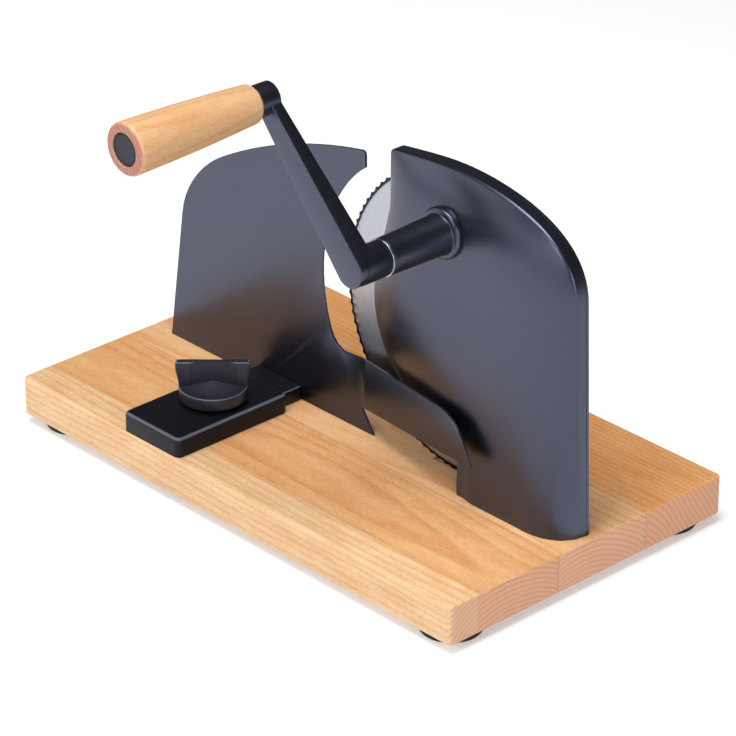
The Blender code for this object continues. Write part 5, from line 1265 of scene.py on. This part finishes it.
def make_knob():
    """The clamp knob: a foot, a domed disc, and an upright grip that flares to its top and has a waist."""
    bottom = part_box("clamp_knob")[0].z
    ledge = bottom + 0.0018
    top = ledge + 0.0077
    foot, face, rim, dome, count = 0.016, 0.0202, 0.0210, 0.0036, 24
    disc = [(face * k / count, top + dome * (1 - k / count) ** 1.5) for k in range(count)]
    disc += rounded([
        disc[-1], (rim, top, 0.0008), (rim, ledge, 0.0006), (foot, ledge), (foot, bottom), (0.0, bottom),
    ])[1:]
    knob = turned("knob_disc", disc, "Z", CLAMP, 128)
    half, flare, thin, sunk = 0.0207, 0.002, 0.0027, 0.002
    crest = top + 0.0158
    outline = [(-half, top - sunk), (half, top - sunk), (half, top)]
    for k in range(1, 9):
        outline.append((half + flare * smooth(k / 8), top + (crest - flare - top) * k / 8))
    outline += arc((half, crest - flare), flare, 0, 90, 5) + [(half, crest)]
    outline += [(-x, z) for x, z in outline[::-1]][:-2]
    grip = outlined("knob_grip", outline, -thin, thin)
    soften(grip, 0.0009, 4, 60)
    hollow = 0.120
    waist = 0.001
    reach = hollow + thin - waist
    waists = []
    for side in (-1, 1):
        waists.append(rod("waist", hollow, top - 0.003, crest + PAST, "Z", (0.0, side * reach), 360))
    combine(grip, waists)
    grip.rotation_euler = (0.0, 0.0, math.radians(47))
    grip.location = (CLAMP[0], CLAMP[1], 0.0)
    settle(grip)
    combine(knob, [grip], "UNION")
    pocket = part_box("clamp_stud")[1].z + GAP
    combine(knob, [rod("pocket", 0.0058, bottom - PAST, pocket, "Z", CLAMP, 48)])
    finish(knob, "knob", "black_plastic", "clamp_knob", look=KNOB_ABS_WITH_PAINTED_SHEEN)


# Stage, lights and camera


FLOOR_LIFT = 0.36
WORLD = 0.10
# Each light's place, the point it looks at, its size in metres and its power in watts
LIGHTS = (
    ("overhead", (0.1, -0.4, 1.9), (0.0, 0.0, 0.1), (1.2, 1.1), 34.0),
    ("front", (0.5, -1.9, 1.3), (0.0, 0.0, 0.12), (0.7, 0.7), 10.0),
    ("left", (-1.45, -1.35, 0.95), (0.0, 0.0, 0.15), (1.7, 1.5), 11.0),
    ("low_front", (-0.1, -2.1, 0.6), (0.0, 0.0, 0.12), (1.5, 0.9), 5.0),
    ("right", (2.0, -0.5, 0.7), (0.0, 0.0, 0.12), (1.2, 1.0), 14.0),
)
# The camera's place in metres, its turns in degrees and its lens in millimetres
CAMERA = (1.4967, -1.35125, 1.1318)
YAW, PITCH, ROLL = 47.04, 27.47, -0.07
LENS = 188.4


def make_stage():
    """A white table, soft lights from above, from the front and from the sides, and the camera."""
    bpy.ops.object.select_all(action="DESELECT")
    bpy.ops.mesh.primitive_plane_add(size=40.0)
    floor = newest("floor")
    made, tree, shader = material("white table", "#e6e6e6", 0.9)
    set_shader(made, {"Specular IOR Level": 0.0, "Emission Color": grey(1.0)})
    path = add(tree, "LightPath")
    seen = path.outputs["Is Camera Ray"]
    for ray in ("Is Glossy Ray", "Is Transmission Ray"):
        seen = add(tree, "Math", {"operation": "MAXIMUM"}, {0: seen, 1: path.outputs[ray]}).outputs[0]
    glow = add(tree, "Math", {"operation": "MULTIPLY"}, {0: seen, 1: FLOOR_LIFT})
    tree.links.new(glow.outputs[0], shader.inputs["Emission Strength"])
    floor.data.materials.append(made)
    world = bpy.data.worlds.new("studio")
    bpy.context.scene.world = world
    world.use_nodes = True
    world.node_tree.nodes["Background"].inputs["Color"].default_value = grey(1.0)
    world.node_tree.nodes["Background"].inputs["Strength"].default_value = WORLD
    for name, spot, aim, size, power in LIGHTS:
        data = bpy.data.lights.new(name, "AREA")
        data.shape = "RECTANGLE"
        data.size, data.size_y = size
        data.energy = power
        lamp = bpy.data.objects.new(name, data)
        bpy.context.scene.collection.objects.link(lamp)
        lamp.location = spot
        lamp.rotation_euler = (Vector(aim) - Vector(spot)).to_track_quat("-Z", "Y").to_euler()
    data = bpy.data.cameras.new("view")
    data.lens = LENS
    data.sensor_width = 36.0
    camera = bpy.data.objects.new("view", data)
    bpy.context.scene.collection.objects.link(camera)
    yaw, pitch = math.radians(YAW), math.radians(PITCH)
    ahead = Vector((-math.sin(yaw) * math.cos(pitch), math.cos(yaw) * math.cos(pitch), -math.sin(pitch)))
    right = Vector((math.cos(yaw), math.sin(yaw), 0.0))
    turn = Matrix((right, right.cross(ahead), -ahead)).transposed().to_4x4()
    roll = Matrix.Rotation(math.radians(ROLL), 4, "Z")
    camera.matrix_world = Matrix.Translation(CAMERA) @ turn @ roll
    bpy.context.scene.camera = camera
    bpy.context.scene.view_settings.view_transform = "Standard"


for node in NODES.values():
    for place in node.material_slots:
        place.material = LOOKS[place.material.name.split(".")[0]]

for make in (make_board, make_feet, make_screws, make_body, make_cover, make_bearing, make_arm, make_handle,
             make_blade, make_fence, make_clamp, make_knob, make_stage):
    make()
